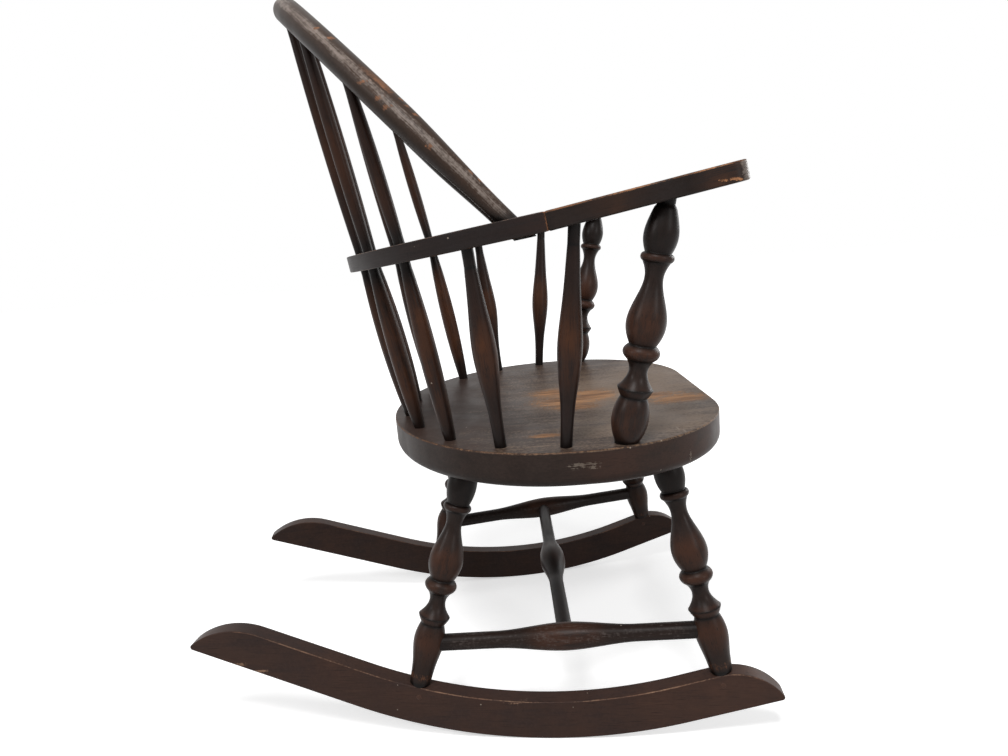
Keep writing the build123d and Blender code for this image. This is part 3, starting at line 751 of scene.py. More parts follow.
class Workshop:
    """Makes pieces, dresses them and hands them to the frame."""

    def __init__(self) -> None:
        """Start without finishes and pieces."""
        self.geometry = SweepTrees()
        self.finishes: dict[str, bpy.types.Material] = {}
        self.count = 0

    def finish(self, wood: StainedWood) -> bpy.types.Material:
        """The wood's material, made on first use.

        Args:
            wood: the wood.

        Returns:
            The material.
        """
        if wood.name not in self.finishes:
            self.finishes[wood.name] = wood.build()
        return self.finishes[wood.name]

    def grain_start(self) -> Vector:
        """A place in the grain of its own for each piece."""
        self.count += 1
        return Vector((0.37 * self.count % 5, 0.83 * self.count % 7, 1.13 * self.count % 11))

    def swept(self, name: str, section: Section, path: list[Vector], stored: dict[str, list[float]],
              sizes: dict[str, object], wood: StainedWood) -> bpy.types.Object:
        """A piece whose section follows a path, made by Geometry Nodes and turned into a plain mesh.

        Args:
            name: the piece's name.
            section: its cross-section.
            path: points of its middle line, mm.
            stored: values at each point; radius_here is the section's size there.
            sizes: named inputs of the tree.
            wood: the finish.

        Returns:
            The piece.
        """
        mesh = bpy.data.meshes.new(name)
        mesh.from_pydata([p * MM for p in path], [(i, i + 1) for i in range(len(path) - 1)], [])
        for key, values in stored.items():
            mesh.attributes.new(key, "FLOAT", "POINT").data.foreach_set("value", values)
        draft = placed(name + ".path", mesh)
        tree = self.geometry.tree(section)
        modifier = draft.modifiers.new("sweep", "NODES")
        modifier.node_group = tree
        given = {**sizes, "Grain Start": self.grain_start(), "Finish": self.finish(wood)}
        for socket in tree.interface.items_tree:
            if socket.in_out == "INPUT" and socket.name in given:
                modifier[socket.identifier] = given[socket.name]
        bpy.context.view_layer.update()
        made = bpy.data.meshes.new_from_object(draft.evaluated_get(bpy.context.evaluated_depsgraph_get()))
        bpy.data.objects.remove(draft)
        made.name = name
        self.outward(made)
        return placed(name, made)

    def turned(self, name: str, start: Vector, end: Vector, outline: list[Run], wood: StainedWood,
               facets: int = 40, ends: Pair = (2.5, 2.5), dark_from: float = 1e6) -> bpy.types.Object:
        """A turned piece between two points.

        Args:
            name: the piece's name.
            start: point of height 0 on its axis.
            end: where its visible part ends.
            outline: its runs of (height, radius) points, upwards.
            wood: the finish.
            facets: points round it.
            ends: how far shadow and dirt reach from the two joints, mm.
            dark_from: height above which the stain is unworn and darker.

        Returns:
            The piece.
        """
        run = (end - start).normalized()
        length = (end - start).length
        points = joined(outline)
        joints = [r[0][0] for r in outline[1:]]
        low, high = min(p[1] for p in points), max(p[1] for p in points)
        stored = {
            "radius_here": [radius * MM for _, radius in points],
            "wear": [ease(r, low + 0.25 * (high - low), high) * (height < dark_from) for height, r in points],
            # dirt and painted shade in the creases and at the ends, and darker above dark_from
            "grime_and_shade": [max(self.crease_dirt_and_shade(height, joints, length, ends), 0.6 * (height > dark_from))
                      for height, _ in points],
        }
        return self.swept(name, Section.ROUND, [start + run * p[0] for p in points], stored, {"Facets": facets}, wood)

    def crease_dirt_and_shade(self, height: float, joints: list[float], length: float, ends: Pair) -> float:
        """Dirt and painted shade in the creases between shapes and at the two ends of a turned piece.

        Args:
            height: height on the piece's axis.
            joints: heights of the creases.
            length: height of its upper end.
            ends: how far the darkening reaches from the two ends.

        Returns:
            The darkening, from 0 to 1.
        """
        crease = max([hump(height, joint, 1.1) for joint in joints] + [0.0])
        bottom, top = hump(max(0.0, height), 0, ends[0]), hump(max(0.0, length - height), 0, ends[1])
        return min(1.0, crease + 0.85 * bottom + 0.85 * top)

    def trim(self, piece: bpy.types.Object, point: Vector, outwards: Vector) -> None:
        """Cut off and close what lies beyond a plane.

        Args:
            piece: a closed piece.
            point: a point of the plane, mm.
            outwards: the plane's direction, towards the part that goes.
        """
        form = bmesh.new()
        form.from_mesh(piece.data)
        every = form.verts[:] + form.edges[:] + form.faces[:]
        bmesh.ops.bisect_plane(form, geom=every, plane_co=point * MM, plane_no=outwards, clear_outer=True)
        bmesh.ops.holes_fill(form, edges=[e for e in form.edges if e.is_boundary], sides=0)
        bmesh.ops.recalc_face_normals(form, faces=form.faces)
        form.to_mesh(piece.data)
        form.free()

    def outward(self, mesh: bpy.types.Mesh) -> None:
        """Point every face of a closed mesh outwards.

        Args:
            mesh: the mesh.
        """
        form = bmesh.new()
        form.from_mesh(mesh)
        bmesh.ops.recalc_face_normals(form, faces=form.faces)
        form.to_mesh(mesh)
        form.free()

    def board(self, name: str, outline: Outline, axes: Axes, thickness: float, edge: float, wood: StainedWood,
              grain: Callable[[float, float, float], Triple], under_edge: float | None = None,
              rings: int = 0, dish: Callable[[float, float], float] | None = None) -> bpy.types.Object:
        """A flat board with rounded edges.

        Args:
            name: the piece's name.
            outline: its corner points, counter-clockwise, in the axes' plane.
            axes: where it lies; the middle of its thickness is at up = 0.
            thickness: from face to face.
            edge: radius of the upper edge.
            wood: the finish.
            grain: the grain's coordinates from the board's own, mm.
            under_edge: radius of the lower edge, if another.
            rings: rings of points across the upper face, where it isn't flat.
            dish: how far the upper face drops at a point.

        Returns:
            The piece.
        """
        loops = board_loops(outline, thickness, edge, edge if under_edge is None else under_edge, rings)
        count, last = len(outline), (len(loops) - 1) * len(outline)
        points = [(x, y, h) for loop, h, _ in loops for x, y in loop]
        if dish is not None:
            points = [(x, y, h - dish(x, y) if h >= thickness / 2 - 1e-6 else h) for x, y, h in points]
        faces = [tuple(reversed(range(count)))]
        for a in range(0, last, count):
            b = a + count
            faces += [(a + i, a + (i + 1) % count, b + (i + 1) % count, b + i) for i in range(count)]
        faces.append(tuple(range(last, last + count)))
        mesh = bpy.data.meshes.new(name)
        mesh.from_pydata([axes.at(*p) * MM for p in points], [], faces)
        mesh.polygons.foreach_set("use_smooth", [True] * len(mesh.polygons))
        start = self.grain_start()
        place = mesh.attributes.new("grain", "FLOAT_VECTOR", "POINT")
        place.data.foreach_set("vector", [c for p in points for c in (Vector(grain(*p)) * MM + start)])
        piece = placed(name, mesh)
        self.store(piece, "edge", [worn for _, _, worn in loops for _ in range(count)])
        mesh.materials.append(self.finish(wood))
        self.outward(mesh)
        return piece

    def store(self, piece: bpy.types.Object, key: str, values: list[float]) -> None:
        """Store a named value at each point of a piece, in the order of its points."""
        layer = piece.data.attributes.get(key) or piece.data.attributes.new(key, "FLOAT", "POINT")
        layer.data.foreach_set("value", values)

    def paint(self, piece: bpy.types.Object, key: str, value: Callable[[Vector], float]) -> None:
        """Store a value worked out from each point's place in mm."""
        self.store(piece, key, [value(v.co / MM) for v in piece.data.vertices])

    def repaint(self, piece: bpy.types.Object, source: str, key: str,
                value: Callable[[float, Vector], float]) -> None:
        """Store a value worked out from one that is there and from the point's place.

        Args:
            piece: the piece.
            source: name of the value that is there.
            key: name of the value to store, which may be the same.
            value: gives the new value from the old one and the place in mm.
        """
        old = np.zeros(len(piece.data.vertices), np.float32)
        piece.data.attributes[source].data.foreach_get("value", old)
        self.store(piece, key, [value(o, v.co / MM) for o, v in zip(old, piece.data.vertices)])

    def add_shade(self, piece: bpy.types.Object, amount: Callable[[Vector], float]) -> None:
        """Deepen the stored darkening with painted shade, from place to place."""
        self.repaint(piece, "grime_and_shade", "grime_and_shade", lambda old, p: min(1.0, max(old, amount(p))))

    def rub_edges(self, piece: bpy.types.Object, amount: Callable[[Vector], float]) -> None:
        """Store wear along a board's rounded edges, stronger or weaker from place to place."""
        self.repaint(piece, "edge", "rub", lambda edge, p: edge * amount(p))

    def hand_over(self, piece: bpy.types.Object, wood: StainedWood, *nodes: str) -> None:
        """Fix the piece to the frame in place of its CAD nodes.

        Args:
            piece: the piece.
            wood: its finish; not used.
            nodes: names of the CAD nodes.
        """
        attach(piece, "root")
        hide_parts(*nodes)


# --- the seat ---
@dataclass
class Seat:
    """Rounded seat board with a shallow dish."""

    width: float = 344.0
    back_depth: float = 146.0
    front_depth: float = 125.5
    corner_radius: float = 113.0
    thickness: float = 26.4
    top_edge: float = 1.2
    under_edge: float = 8.0
    height: float = 240.5
    widest_y: float = -84.4
    tilt: float = 0.5
    dish_radius: float = 112.0
    dish_depth: float = 3.0
    dish_setback: float = -4.0
    row_inset: float = 13.5
    edge_rub: float = 0.39
    # painted sheen on the top face: all over it, and stronger or weaker in spots
    top_sheen: float = 0.36
    thin_spots: tuple[Spot, ...] = ((-20, -32, 34, 44, 0.25), (-35, -95, 26, 44, 0.25), (95, 30, 20, 40, 0.15))
    sheen_spots: tuple[Spot, ...] = ((10, -30, 70, 50, 0.14), (40, -100, 90, 50, 0.16), (-110, -60, 50, 60, 0.16),
                                    (0, 110, 150, 40, -0.12))
    wood: StainedWood = StainedWood(
        "seat_stain", "seat_wood", dark="1E1815", stain="382C27", warm="4A342C", bare="A27A58", painted_sheen="7C6A5A",
        fibre=0.8, figure=8.0, gloss=0.42, relief=0.06, mottle=0.85, ragged=1.7,
        bare_places=((0, -117, 238, 26, 24), (-15, -92, 238, 28, 32), (-38, -98, 238, 14, 22),
                     (22, -84, 238, 18, 24), (-26, -162, 240, 12, 30), (-48, -186, 241, 17, 28),
                     (-127, -66, 240, 5, 14)),
        pale_places=((-172, -84, 230.5, 1.6, 5), (-172, -94, 230, 1.6, 4), (-147, -167, 222, 4, 1),
                     (-137, -161, 241, 5, 0.7), (-144, -164, 241, 4, 0.7)))

    @property
    def axes(self) -> Axes:
        """Axes of the top face, from its widest line."""
        return Axes.tilted(Vector((0, self.widest_y, self.height)), self.tilt)

    def row_point(self, angle: float) -> Vector:
        """Point of the spindle row, by its angle round the back."""
        x, v = on_circle(1, angle)
        return self.axes.at((self.width / 2 - self.row_inset) * x, (self.back_depth - self.row_inset) * v)

    def outline(self) -> Outline:
        """Half ellipse behind the widest line, rounded corners in front of it.

        Returns:
            The corner points.
        """
        half = self.width / 2
        reach, radius = self.front_depth - self.corner_radius, self.corner_radius
        quarter = np.linspace(0, pi / 2, 48)
        points = [(half * cos(a), self.back_depth * sin(a)) for a in np.linspace(0, pi, 121)]
        points += [(-half, -t) for t in np.linspace(0, reach, 5)[1:-1]]
        points += [(-half + radius - radius * cos(a), -reach - radius * sin(a)) for a in quarter]
        points += [(x, -self.front_depth) for x in np.linspace(radius - half, half - radius, 34)[1:-1]]
        points += [(half - radius + radius * sin(a), -reach - radius * cos(a)) for a in quarter]
        points += [(half, -t) for t in np.linspace(reach, 0, 5)[1:-1]]
        return points

    def dish(self, x: float, v: float) -> float:
        """How far the dished face drops below the flat rim.

        Args:
            x: place across the seat.
            v: place along it.

        Returns:
            The drop.
        """
        ball = (self.dish_radius**2 + self.dish_depth**2) / (2 * self.dish_depth)
        away = x**2 + (v - self.dish_setback) ** 2
        if away >= self.dish_radius**2:
            return 0.0
        return sqrt(ball**2 - away) - (ball - self.dish_depth)

    def build(self, shop: Workshop) -> bpy.types.Object:
        """Make and dress the seat board.

        Args:
            shop: makes the piece.

        Returns:
            The piece.
        """
        top = self.axes
        middle = Axes(top.at(0, 0, -self.thickness / 2), top.across, top.along, top.up)
        piece = shop.board("seat_board", self.outline(), middle, self.thickness, self.top_edge, self.wood,
                           lambda x, v, h: (x, h, v), under_edge=self.under_edge, rings=64, dish=self.dish)
        self.dress(shop, piece)
        shop.hand_over(piece, self.wood, "seat")
        return piece

    def dress(self, shop: Workshop, piece: bpy.types.Object) -> None:
        """Store the seat's worn patches, the painted sheen on its top and the painted shade on its sides.

        Args:
            shop: makes the piece.
            piece: the seat board.
        """
        local = self.axes.local
        shop.rub_edges(piece, lambda p: self.edge_rub * self.on_top(*local(p)))
        shop.repaint(piece, "rub", "rub", lambda old, p: old + self.spots(*local(p), self.thin_spots))
        # painted sheen on the top face
        shop.paint(piece, "painted_sheen", lambda p: self.spots(*local(p), self.sheen_spots)
                   + self.top_sheen * self.on_top(*local(p)))
        shop.paint(piece, "wear", lambda p: self.wear(*local(p)))
        # painted shade on the sides, darker towards the lower edge
        shop.paint(piece, "grime_and_shade", lambda p: self.side_shade(*local(p)))

    def on_top(self, x: float, v: float, h: float) -> bool:
        """Whether a point, in the seat's axes, is on the upper face or its edge."""
        return h > -1.3 - self.dish(x, v)

    def spots(self, x: float, v: float, h: float, spots: tuple[Spot, ...]) -> float:
        """Strength of some spots at a point in the seat's axes; the lower sides have none."""
        return 0.0 if h < -4 else spotted(x, v, spots)

    def wear(self, x: float, v: float, h: float) -> float:
        """How thin the stain is at a point in the seat's axes.

        Args:
            x: place across the seat.
            v: place along it.
            h: height over its rim.

        Returns:
            The wear, from 0 to 1.
        """
        if self.on_top(x, v, h):
            return 0.3 + 0.5 * self.spots(x, v, h, self.thin_spots)
        return 0.9 * ease(-v, -20, 30) + 0.1

    def side_shade(self, x: float, v: float, h: float) -> float:
        """Painted shade on the seat's sides, darker towards the lower edge, at a point in its axes."""
        return 0.0 if self.on_top(x, v, h) else 0.24 + 0.3 * ease(-h, 14, 26)


# --- rockers ---
@dataclass
class Rockers:
    """Curved blades on edge, closer together at the rear."""

    length: float = 466.5
    thickness: float = 14.4
    depth: float = 31.7
    radius: float = 418.0
    front_rise: float = 15.1
    rear_rise: float = 21.3
    low_point: float = -53.0
    front_nose: float = 44.0
    rear_nose: float = 60.0
    tip: float = 2.4
    edge: float = 0.9
    half_spacing: float = 131.4
    toe_in: float = 6.5
    middle_y: float = 0.57
    pin_radius: float = 2.2
    pin_drop: float = 8.4
    pin_facets: int = 16
    wood: StainedWood = StainedWood(
        "rocker_stain", "flat_wood", dark="1A1210", stain="3A2B27", warm="604437", bare="9A7A64", painted_sheen="6E5A50",
        fibre=0.6, figure=6.0, gloss=0.40, relief=0.05, mottle=0.95, ragged=3.4,
        bare_places=((-117, 190, 67, 1.1, 5), (-119, 174, 60.5, 1.0, 7), (-141, -30, 31, 1.1, 7)))

    @property
    def axes(self) -> Axes:
        """Axes of the left blade.

        Returns:
            The axes; across runs along the blade, along runs up, up points outwards.
        """
        turn = radians(self.toe_in)
        return Axes(Vector((self.half_spacing, self.middle_y, 0)), Vector((-sin(turn), cos(turn), 0)),
                    Vector((0, 0, 1)), Vector((cos(turn), sin(turn), 0)))

    def rise(self, side: int) -> float:
        """Upward slope of the straight run at an end; side is -1 front, 1 rear."""
        return self.front_rise if side < 0 else self.rear_rise

    def arc_point(self, side: int, height: float) -> Vector:
        """Where the curved middle ends, at this height over the underside."""
        along, up = on_circle(self.radius - height, side * self.rise(side) - 90)
        return Vector((self.low_point + along, self.radius + up))

    def end_point(self, side: int, back: float, height: float) -> Vector:
        """Point near an end of the blade.

        Args:
            side: -1 front, 1 rear.
            back: distance from the tip along the straight run.
            height: height over the underside.

        Returns:
            The point, in the blade's plane.
        """
        run = Vector(on_circle(1, side * self.rise(side))) * side
        lift = Vector(on_circle(1, side * self.rise(side) + 90))
        start = self.arc_point(side, 0)
        reach = (side * self.length / 2 - start.x) / run.x
        return start + run * (reach - back) + lift * height

    def arc(self, side: int, radius: float, angles: np.ndarray) -> list[Vector]:
        """Points of the curved middle, by their angles from the lowest point."""
        return [Vector((self.low_point + radius * sin(radians(side * a)), self.radius - radius * cos(radians(a))))
                for a in angles]

    def half_outline(self, side: int) -> list[Vector]:
        """Upper edge from the lowest point to the nose, round the tip, and back along the underside.

        Args:
            side: -1 front, 1 rear.

        Returns:
            The points, in the blade's plane.
        """
        nose = self.front_nose if side < 0 else self.rear_nose
        nose_back = sqrt(2 * nose * self.depth - self.depth**2)
        full_turn = atan2(nose_back, nose - self.depth)
        rise = self.rise(side)
        upper = self.arc(side, self.radius - self.depth, np.linspace(0, rise, 40))
        upper += between(self.arc_point(side, self.depth), self.end_point(side, nose_back, self.depth), 16)
        for turn in np.linspace(0, full_turn, 26):
            upper.append(self.end_point(side, nose_back - nose * sin(turn), self.depth - nose * (1 - cos(turn))))
        tip, under_start = self.end_point(side, 0, 0), self.arc_point(side, 0)
        reach = self.tip / tan((upper[-4] - tip).angle(under_start - tip) / 2)
        while (upper[-1] - tip).length < reach + 0.5:
            upper.pop()
        rounded = rounded_corner(upper[-1], tip, under_start, self.tip)
        under = between(tip, under_start, 20) + [under_start]
        under += self.arc(side, self.radius, np.linspace(rise, 0, 40)[1:])
        return upper + rounded + [p for p in under if (p - tip).length > reach + 1]

    def outline(self) -> Outline:
        """Blade outline, counter-clockwise: underside forwards to rear, upper edge back."""
        loop = self.half_outline(-1) + list(reversed(self.half_outline(1)))[1:-1]
        return [(p.x, p.y) for p in loop]

    def top_point(self, s: float, drop: float = 0.0, inset: float = 0.0) -> Vector:
        """Point on or under the left blade's top edge.

        Args:
            s: place along the blade.
            drop: depth under the edge.
            inset: distance inwards from the blade's middle plane.

        Returns:
            The point.
        """
        side = 1 if s > self.low_point else -1
        arc_end = self.arc_point(side, self.depth)
        if abs(s - self.low_point) < abs(arc_end.x - self.low_point):
            top = self.radius - sqrt((self.radius - self.depth) ** 2 - (s - self.low_point) ** 2)
        else:
            top = arc_end.y + abs(s - arc_end.x) * tan(radians(self.rise(side)))
        return self.axes.at(s, top - drop, -inset)

    def blade_axes(self, side: Side) -> Axes:
        """Axes of one blade."""
        a = self.axes
        return Axes(side.place(a.origin), side.place(a.across), a.along, side.place(a.up))

    def build(self, shop: Workshop, side: Side) -> bpy.types.Object:
        """Make and dress one blade.

        Args:
            shop: makes the piece.
            side: the chair's side.

        Returns:
            The piece.
        """
        axes = self.blade_axes(side)
        local = axes.local
        piece = shop.board("rocker_blade_" + side.label, self.outline(), axes, self.thickness, self.edge, self.wood,
                           lambda s, z, h: (h, z, s))
        shop.rub_edges(piece, lambda p: self.edge_wear(local(p)[0], p.z))
        shop.paint(piece, "wear", lambda p: 0.45 + 0.25 * ease(abs(p.y), 60, 220))
        # painted shade on the inner face and towards the rear
        shop.paint(piece, "grime_and_shade", lambda p: self.shade(local(p)[2], p.y))
        shop.hand_over(piece, self.wood, "rocker_" + side.label)
        return piece

    def edge_wear(self, s: float, z: float) -> float:
        """How far the blade's edges are rubbed at s along it and z over the floor, more on top than under."""
        underside = self.radius - sqrt(self.radius**2 - min(abs(s - self.low_point), 300) ** 2)
        return 0.30 + 0.12 * ease(z - underside, 10, 20) + 0.08 * sin(s / 13) * sin(s / 31)

    def shade(self, out: float, y: float) -> float:
        """Painted shade: dark on the blade's inner face, and a little towards the rear on the other faces."""
        return 0.5 if out < -(self.thickness / 2 - 0.1) else 0.08 + 0.2 * ease(y, 40, 150)

    def build_pins(self, shop: Workshop, feet: list[float]) -> bpy.types.Object:
        """Make the slightly domed ends of the pins that lock the feet, as one piece.

        Args:
            shop: makes the piece.
            feet: places of the legs' feet along the blade.

        Returns:
            The piece.
        """
        form = bmesh.new()
        for side in Side:
            for s in feet:
                self.add_pin(form, side.place(self.top_point(s, drop=self.pin_drop)), self.blade_axes(side).up)
        mesh = bpy.data.meshes.new("rocker_pin_ends")
        form.to_mesh(mesh)
        form.free()
        mesh.polygons.foreach_set("use_smooth", [True] * len(mesh.polygons))
        piece = placed("rocker_pin_ends", mesh)
        mesh.materials.append(shop.finish(self.wood))
        place = mesh.attributes.new("grain", "FLOAT_VECTOR", "POINT")
        place.data.foreach_set("vector", [c for v in mesh.vertices for c in (v.co.y, v.co.z, v.co.x)])
        shop.paint(piece, "wear", lambda p: 0.8)
        shop.hand_over(piece, self.wood, "rocker_pins")
        return piece

    def add_pin(self, form: bmesh.types.BMesh, centre: Vector, run: Vector) -> None:
        """Add one pin through a blade: a rod with low domed ends.

        Args:
            form: the mesh that it goes into.
            centre: its middle.
            run: its direction.
        """
        half, count = self.thickness / 2, self.pin_facets
        dome = [(half, 1.0), (half + 0.12, 0.85), (half + 0.25, 0.5)]       # place along the pin, share of radius
        rings = [(-along, share) for along, share in reversed(dome)] + dome
        side_way = run.cross(Vector((0, 0, 1))).normalized()
        other = run.cross(side_way)
        loops = []
        for along, share in rings:
            round_points = [on_circle(self.pin_radius * share, i * 360 / count) for i in range(count)]
            loops.append([form.verts.new((centre + run * along + side_way * a + other * b) * MM)
                          for a, b in round_points])
        for first, second in zip(loops, loops[1:]):
            for i in range(count):
                j = (i + 1) % count
                form.faces.new((first[i], first[j], second[j], second[i]))
        form.faces.new(list(reversed(loops[0])))
        form.faces.new(loops[-1])
        bmesh.ops.recalc_face_normals(form, faces=form.faces)


# --- turned work ---
@dataclass
class TurnedPattern:
    """Collar, neck, bead, vase, ring and bulb that the legs and arm posts share."""

    groove: float = 9.2
    collar: float = 12.4
    collar_length: float = 13.0
    collar_edge: float = 6.2
    collar_round: float = 1.3
    collar_bevel: float = 3.6
    neck: float = 6.4
    neck_length: float = 13.0
    bead: float = 12.7
    bead_length: float = 10.5
    vase: float = 13.5
    vase_length: float = 55.6
    vase_belly: float = 13.0
    throat_drop: float = 8.2
    ring: float = 11.1
    ring_length: float = 5.9
    ring_under: float = 9.3
    bulb: float = 11.4
    bulb_belly: float = 10.5
    bulb_shoulder: float = 9.2
    bulb_shoulder_height: float = 23.0
    wood: StainedWood = StainedWood(
        "turned_stain", "turned_wood", dark="120D0B", stain="2A1F1B", warm="4E3022", bare="8A6048", painted_sheen="5E5450",
        fibre=0.6, figure=5.0, gloss=0.36, relief=0.04, mottle=0.8)

    def runs(self, start: float) -> tuple[list[Run], Pair]:
        """Runs from the groove under the collar to the ring's top.

        Args:
            start: height of the groove.

        Returns:
            The runs, and the (height, radius) point where the bulb starts.
        """
        lip = (start + self.collar_edge, self.collar)
        neck_start = start + self.collar_length
        bead_start = neck_start + self.neck_length
        vase_start = bead_start + self.bead_length
        belly = (vase_start + self.vase_belly, self.vase)
        ring_start = vase_start + self.vase_length
        throat = (ring_start - self.throat_drop, self.neck)
        waist = ((belly[0] + throat[0]) / 2, (self.vase + self.neck) / 2)
        ring_top = (ring_start + self.ring_length, (self.neck + self.ring) / 2)
        under_bead, over_bead = (bead_start, self.groove), (vase_start, self.groove)
        under_ring = (ring_start, self.ring_under)
        runs = [
            spline_run((start, self.groove), (start + self.collar_edge / 2, self.collar - self.collar_round), lip),
            spline_run(lip, (lip[0] + self.collar_bevel, self.groove + 0.4), (neck_start + 1.0, self.neck + 0.9),
                       (neck_start + self.neck_length / 2 - 1.0, self.neck), under_bead),
            spline_run(under_bead, (bead_start + self.bead_length / 2, self.bead), over_bead),
            spline_run(over_bead, belly, waist, throat, under_ring),
            spline_run(under_ring, (ring_start + 0.2 * self.ring_length, self.ring - 0.5),
                       (ring_start + 0.5 * self.ring_length, self.ring),
                       (ring_start + 0.8 * self.ring_length, self.ring - 0.6), ring_top),
        ]
        return runs, ring_top


@dataclass
class Legs:
    """Four turned legs between the seat and the rockers."""

    seat: Seat
    rockers: Rockers
    pattern: TurnedPattern
    front_foot: float = 43.5
    rear_foot: float = 49.0
    foot_radius: float = 12.2
    foot_belly_drop: float = 13.0
    calf: float = 9.8
    calf_drop: float = 31.0
    ankle: float = 8.2
    top: float = 8.6
    foot_inset: float = 1.2
    foot_sink: float = 0.15
    front: Triple = (124.0, -69.0, -186.8)
    rear: Triple = (101.0, 81.5, 46.9)

    def place(self, which: LegPlace) -> Triple:
        """Seat x, seat v and rocker s of a leg."""
        return self.front if which is LegPlace.FRONT else self.rear

    def axis(self, which: LegPlace) -> tuple[Vector, Vector]:
        """Foot on the left rocker's top edge and head on the seat's underside."""
        x, v, s = self.place(which)
        return self.rockers.top_point(s, inset=self.foot_inset), self.seat.axes.at(x, v, -self.seat.thickness)

    def build(self, shop: Workshop, which: LegPlace, side: Side) -> bpy.types.Object:
        """Make and dress one leg.

        Args:
            shop: makes the piece.
            which: the front or the rear one.
            side: the chair's side.

        Returns:
            The piece.
        """
        foot, head = (side.place(p) for p in self.axis(which))
        length = (head - foot).length
        groove = self.front_foot if which is LegPlace.FRONT else self.rear_foot
        runs, ring_top = self.pattern.runs(groove)
        outline = [
            line_run((-self.ankle, self.ankle), (0, self.ankle)),
            spline_run((0, self.ankle), (groove - self.calf_drop, self.calf),
                       (groove - self.foot_belly_drop, self.foot_radius), (groove, self.pattern.groove)),
            *runs,
            spline_run(ring_top, (ring_top[0] + self.pattern.bulb_belly, self.pattern.bulb), (length, self.top)),
            line_run((length, self.top), (length + 5.0, self.top)),
        ]
        name = which.value + "_" + side.label
        piece = shop.turned("turned_leg_" + name, foot, head, outline, self.pattern.wood, facets=48,
                           dark_from=ring_top[0])
        self.seat_foot(shop, piece, self.place(which)[2], side)
        shop.paint(piece, "rub", lambda p: 0.37 * hump((p - foot).length, 11, sqrt(20)))
        shop.hand_over(piece, self.pattern.wood, "leg_" + name)
        return piece

    def seat_foot(self, shop: Workshop, piece: bpy.types.Object, s: float, side: Side) -> None:
        """Cut the foot off level with the rocker's top edge.

        Args:
            shop: makes the piece.
            piece: the leg.
            s: the foot's place along the rocker.
            side: the chair's side.
        """
        slope = side.place(self.rockers.top_point(s + 4) - self.rockers.top_point(s - 4))
        down = slope.cross(self.rockers.blade_axes(side).up)
        if down.z > 0:
            down.negate()
        shop.trim(piece, side.place(self.rockers.top_point(s, drop=self.foot_sink)), down)


@dataclass
class Stretchers:
    """Three turned bars that tie the legs in an H."""

    legs: Legs
    wood: StainedWood = TurnedPattern.wood
    height: float = 32.0
    side_end: float = 6.5
    side_belly: float = 10.6
    side_belly_length: float = 110.0
    center_end: float = 6.2
    center_belly: float = 11.8
    center_belly_length: float = 90.0
    overrun: float = 5.0
    # reach of the darkening at the bar ends: dirt and painted shade where the bars enter their joints
    dirt_and_shade_reach: float = 9.0
    # painted sheen over the side bars and, weaker, over the centre bar
    side_sheen: float = 0.33
    center_sheen: float = 0.15

    def joints(self) -> tuple[Vector, Vector]:
        """Middle of the left side stretcher's joints in the front and rear leg.

        Returns:
            The two points.
        """
        points = []
        for which in LegPlace:
            foot, head = self.legs.axis(which)
            points.append(foot + (head - foot).normalized() * self.height)
        run = (points[1] - points[0]).normalized()
        reach = self.legs.foot_radius
        return points[0] + run * reach, points[1] - run * reach

    def bar(self, shop: Workshop, name: str, start: Vector, end: Vector, end_radius: float, belly: float,
            belly_length: float) -> bpy.types.Object:
        """Make one bar with a swollen middle.

        Args:
            shop: makes the piece.
            name: the piece's name.
            start: where it leaves its first joint.
            end: where it enters its second joint.
            end_radius: radius of its ends.
            belly: radius of its middle.
            belly_length: length of the swelling.

        Returns:
            The piece.
        """
        length = (end - start).length
        first, last = (length - belly_length) / 2, (length + belly_length) / 2
        outline = [
            line_run((-self.overrun, end_radius), (first, end_radius)),
            spline_run((first, end_radius), (length / 2, belly), (last, end_radius), level=True),
            line_run((last, end_radius), (length + self.overrun, end_radius)),
        ]
        piece = shop.turned(name, start, end, outline, self.wood, facets=36)
        # dirt and painted shade at both ends, where the bar enters its joints
        shop.paint(piece, "grime_and_shade", lambda p: hump((p - start).length, 0, self.dirt_and_shade_reach)
                   + hump((p - end).length, 0, self.dirt_and_shade_reach))
        return piece

    def build_side(self, shop: Workshop, side: Side) -> bpy.types.Object:
        """Make and dress one side stretcher.

        Args:
            shop: makes the piece.
            side: the chair's side.

        Returns:
            The piece.
        """
        front, rear = (side.place(p) for p in self.joints())
        name = "side_stretcher_" + side.label
        piece = self.bar(shop, "turned_" + name, front, rear, self.side_end, self.side_belly, self.side_belly_length)
        inward = (rear - front).cross(Vector((0, 0, side.value))).normalized()
        # painted sheen, and painted shade on the inner side
        shop.paint(piece, "painted_sheen", lambda p: self.side_sheen)
        shop.add_shade(piece, lambda p: 0.45 * ease(-(p - front).dot(inward), -1.0, 5.0))
        shop.hand_over(piece, self.wood, name)
        return piece

    def build_center(self, shop: Workshop) -> bpy.types.Object:
        """Make and dress the centre stretcher.

        Args:
            shop: makes the piece.

        Returns:
            The piece.
        """
        front, rear = self.joints()
        middle = (front + rear) / 2
        end = Vector((middle.x - self.side_belly, middle.y, middle.z))
        piece = self.bar(shop, "turned_center_stretcher", Side.RIGHT.place(end), end, self.center_end,
                         self.center_belly, self.center_belly_length)
        # painted sheen, and painted shade all over the bar, which lies under the seat
        shop.paint(piece, "painted_sheen", lambda p: self.center_sheen)
        shop.add_shade(piece, lambda p: 0.4)
        shop.hand_over(piece, self.wood, "center_stretcher")
        return piece


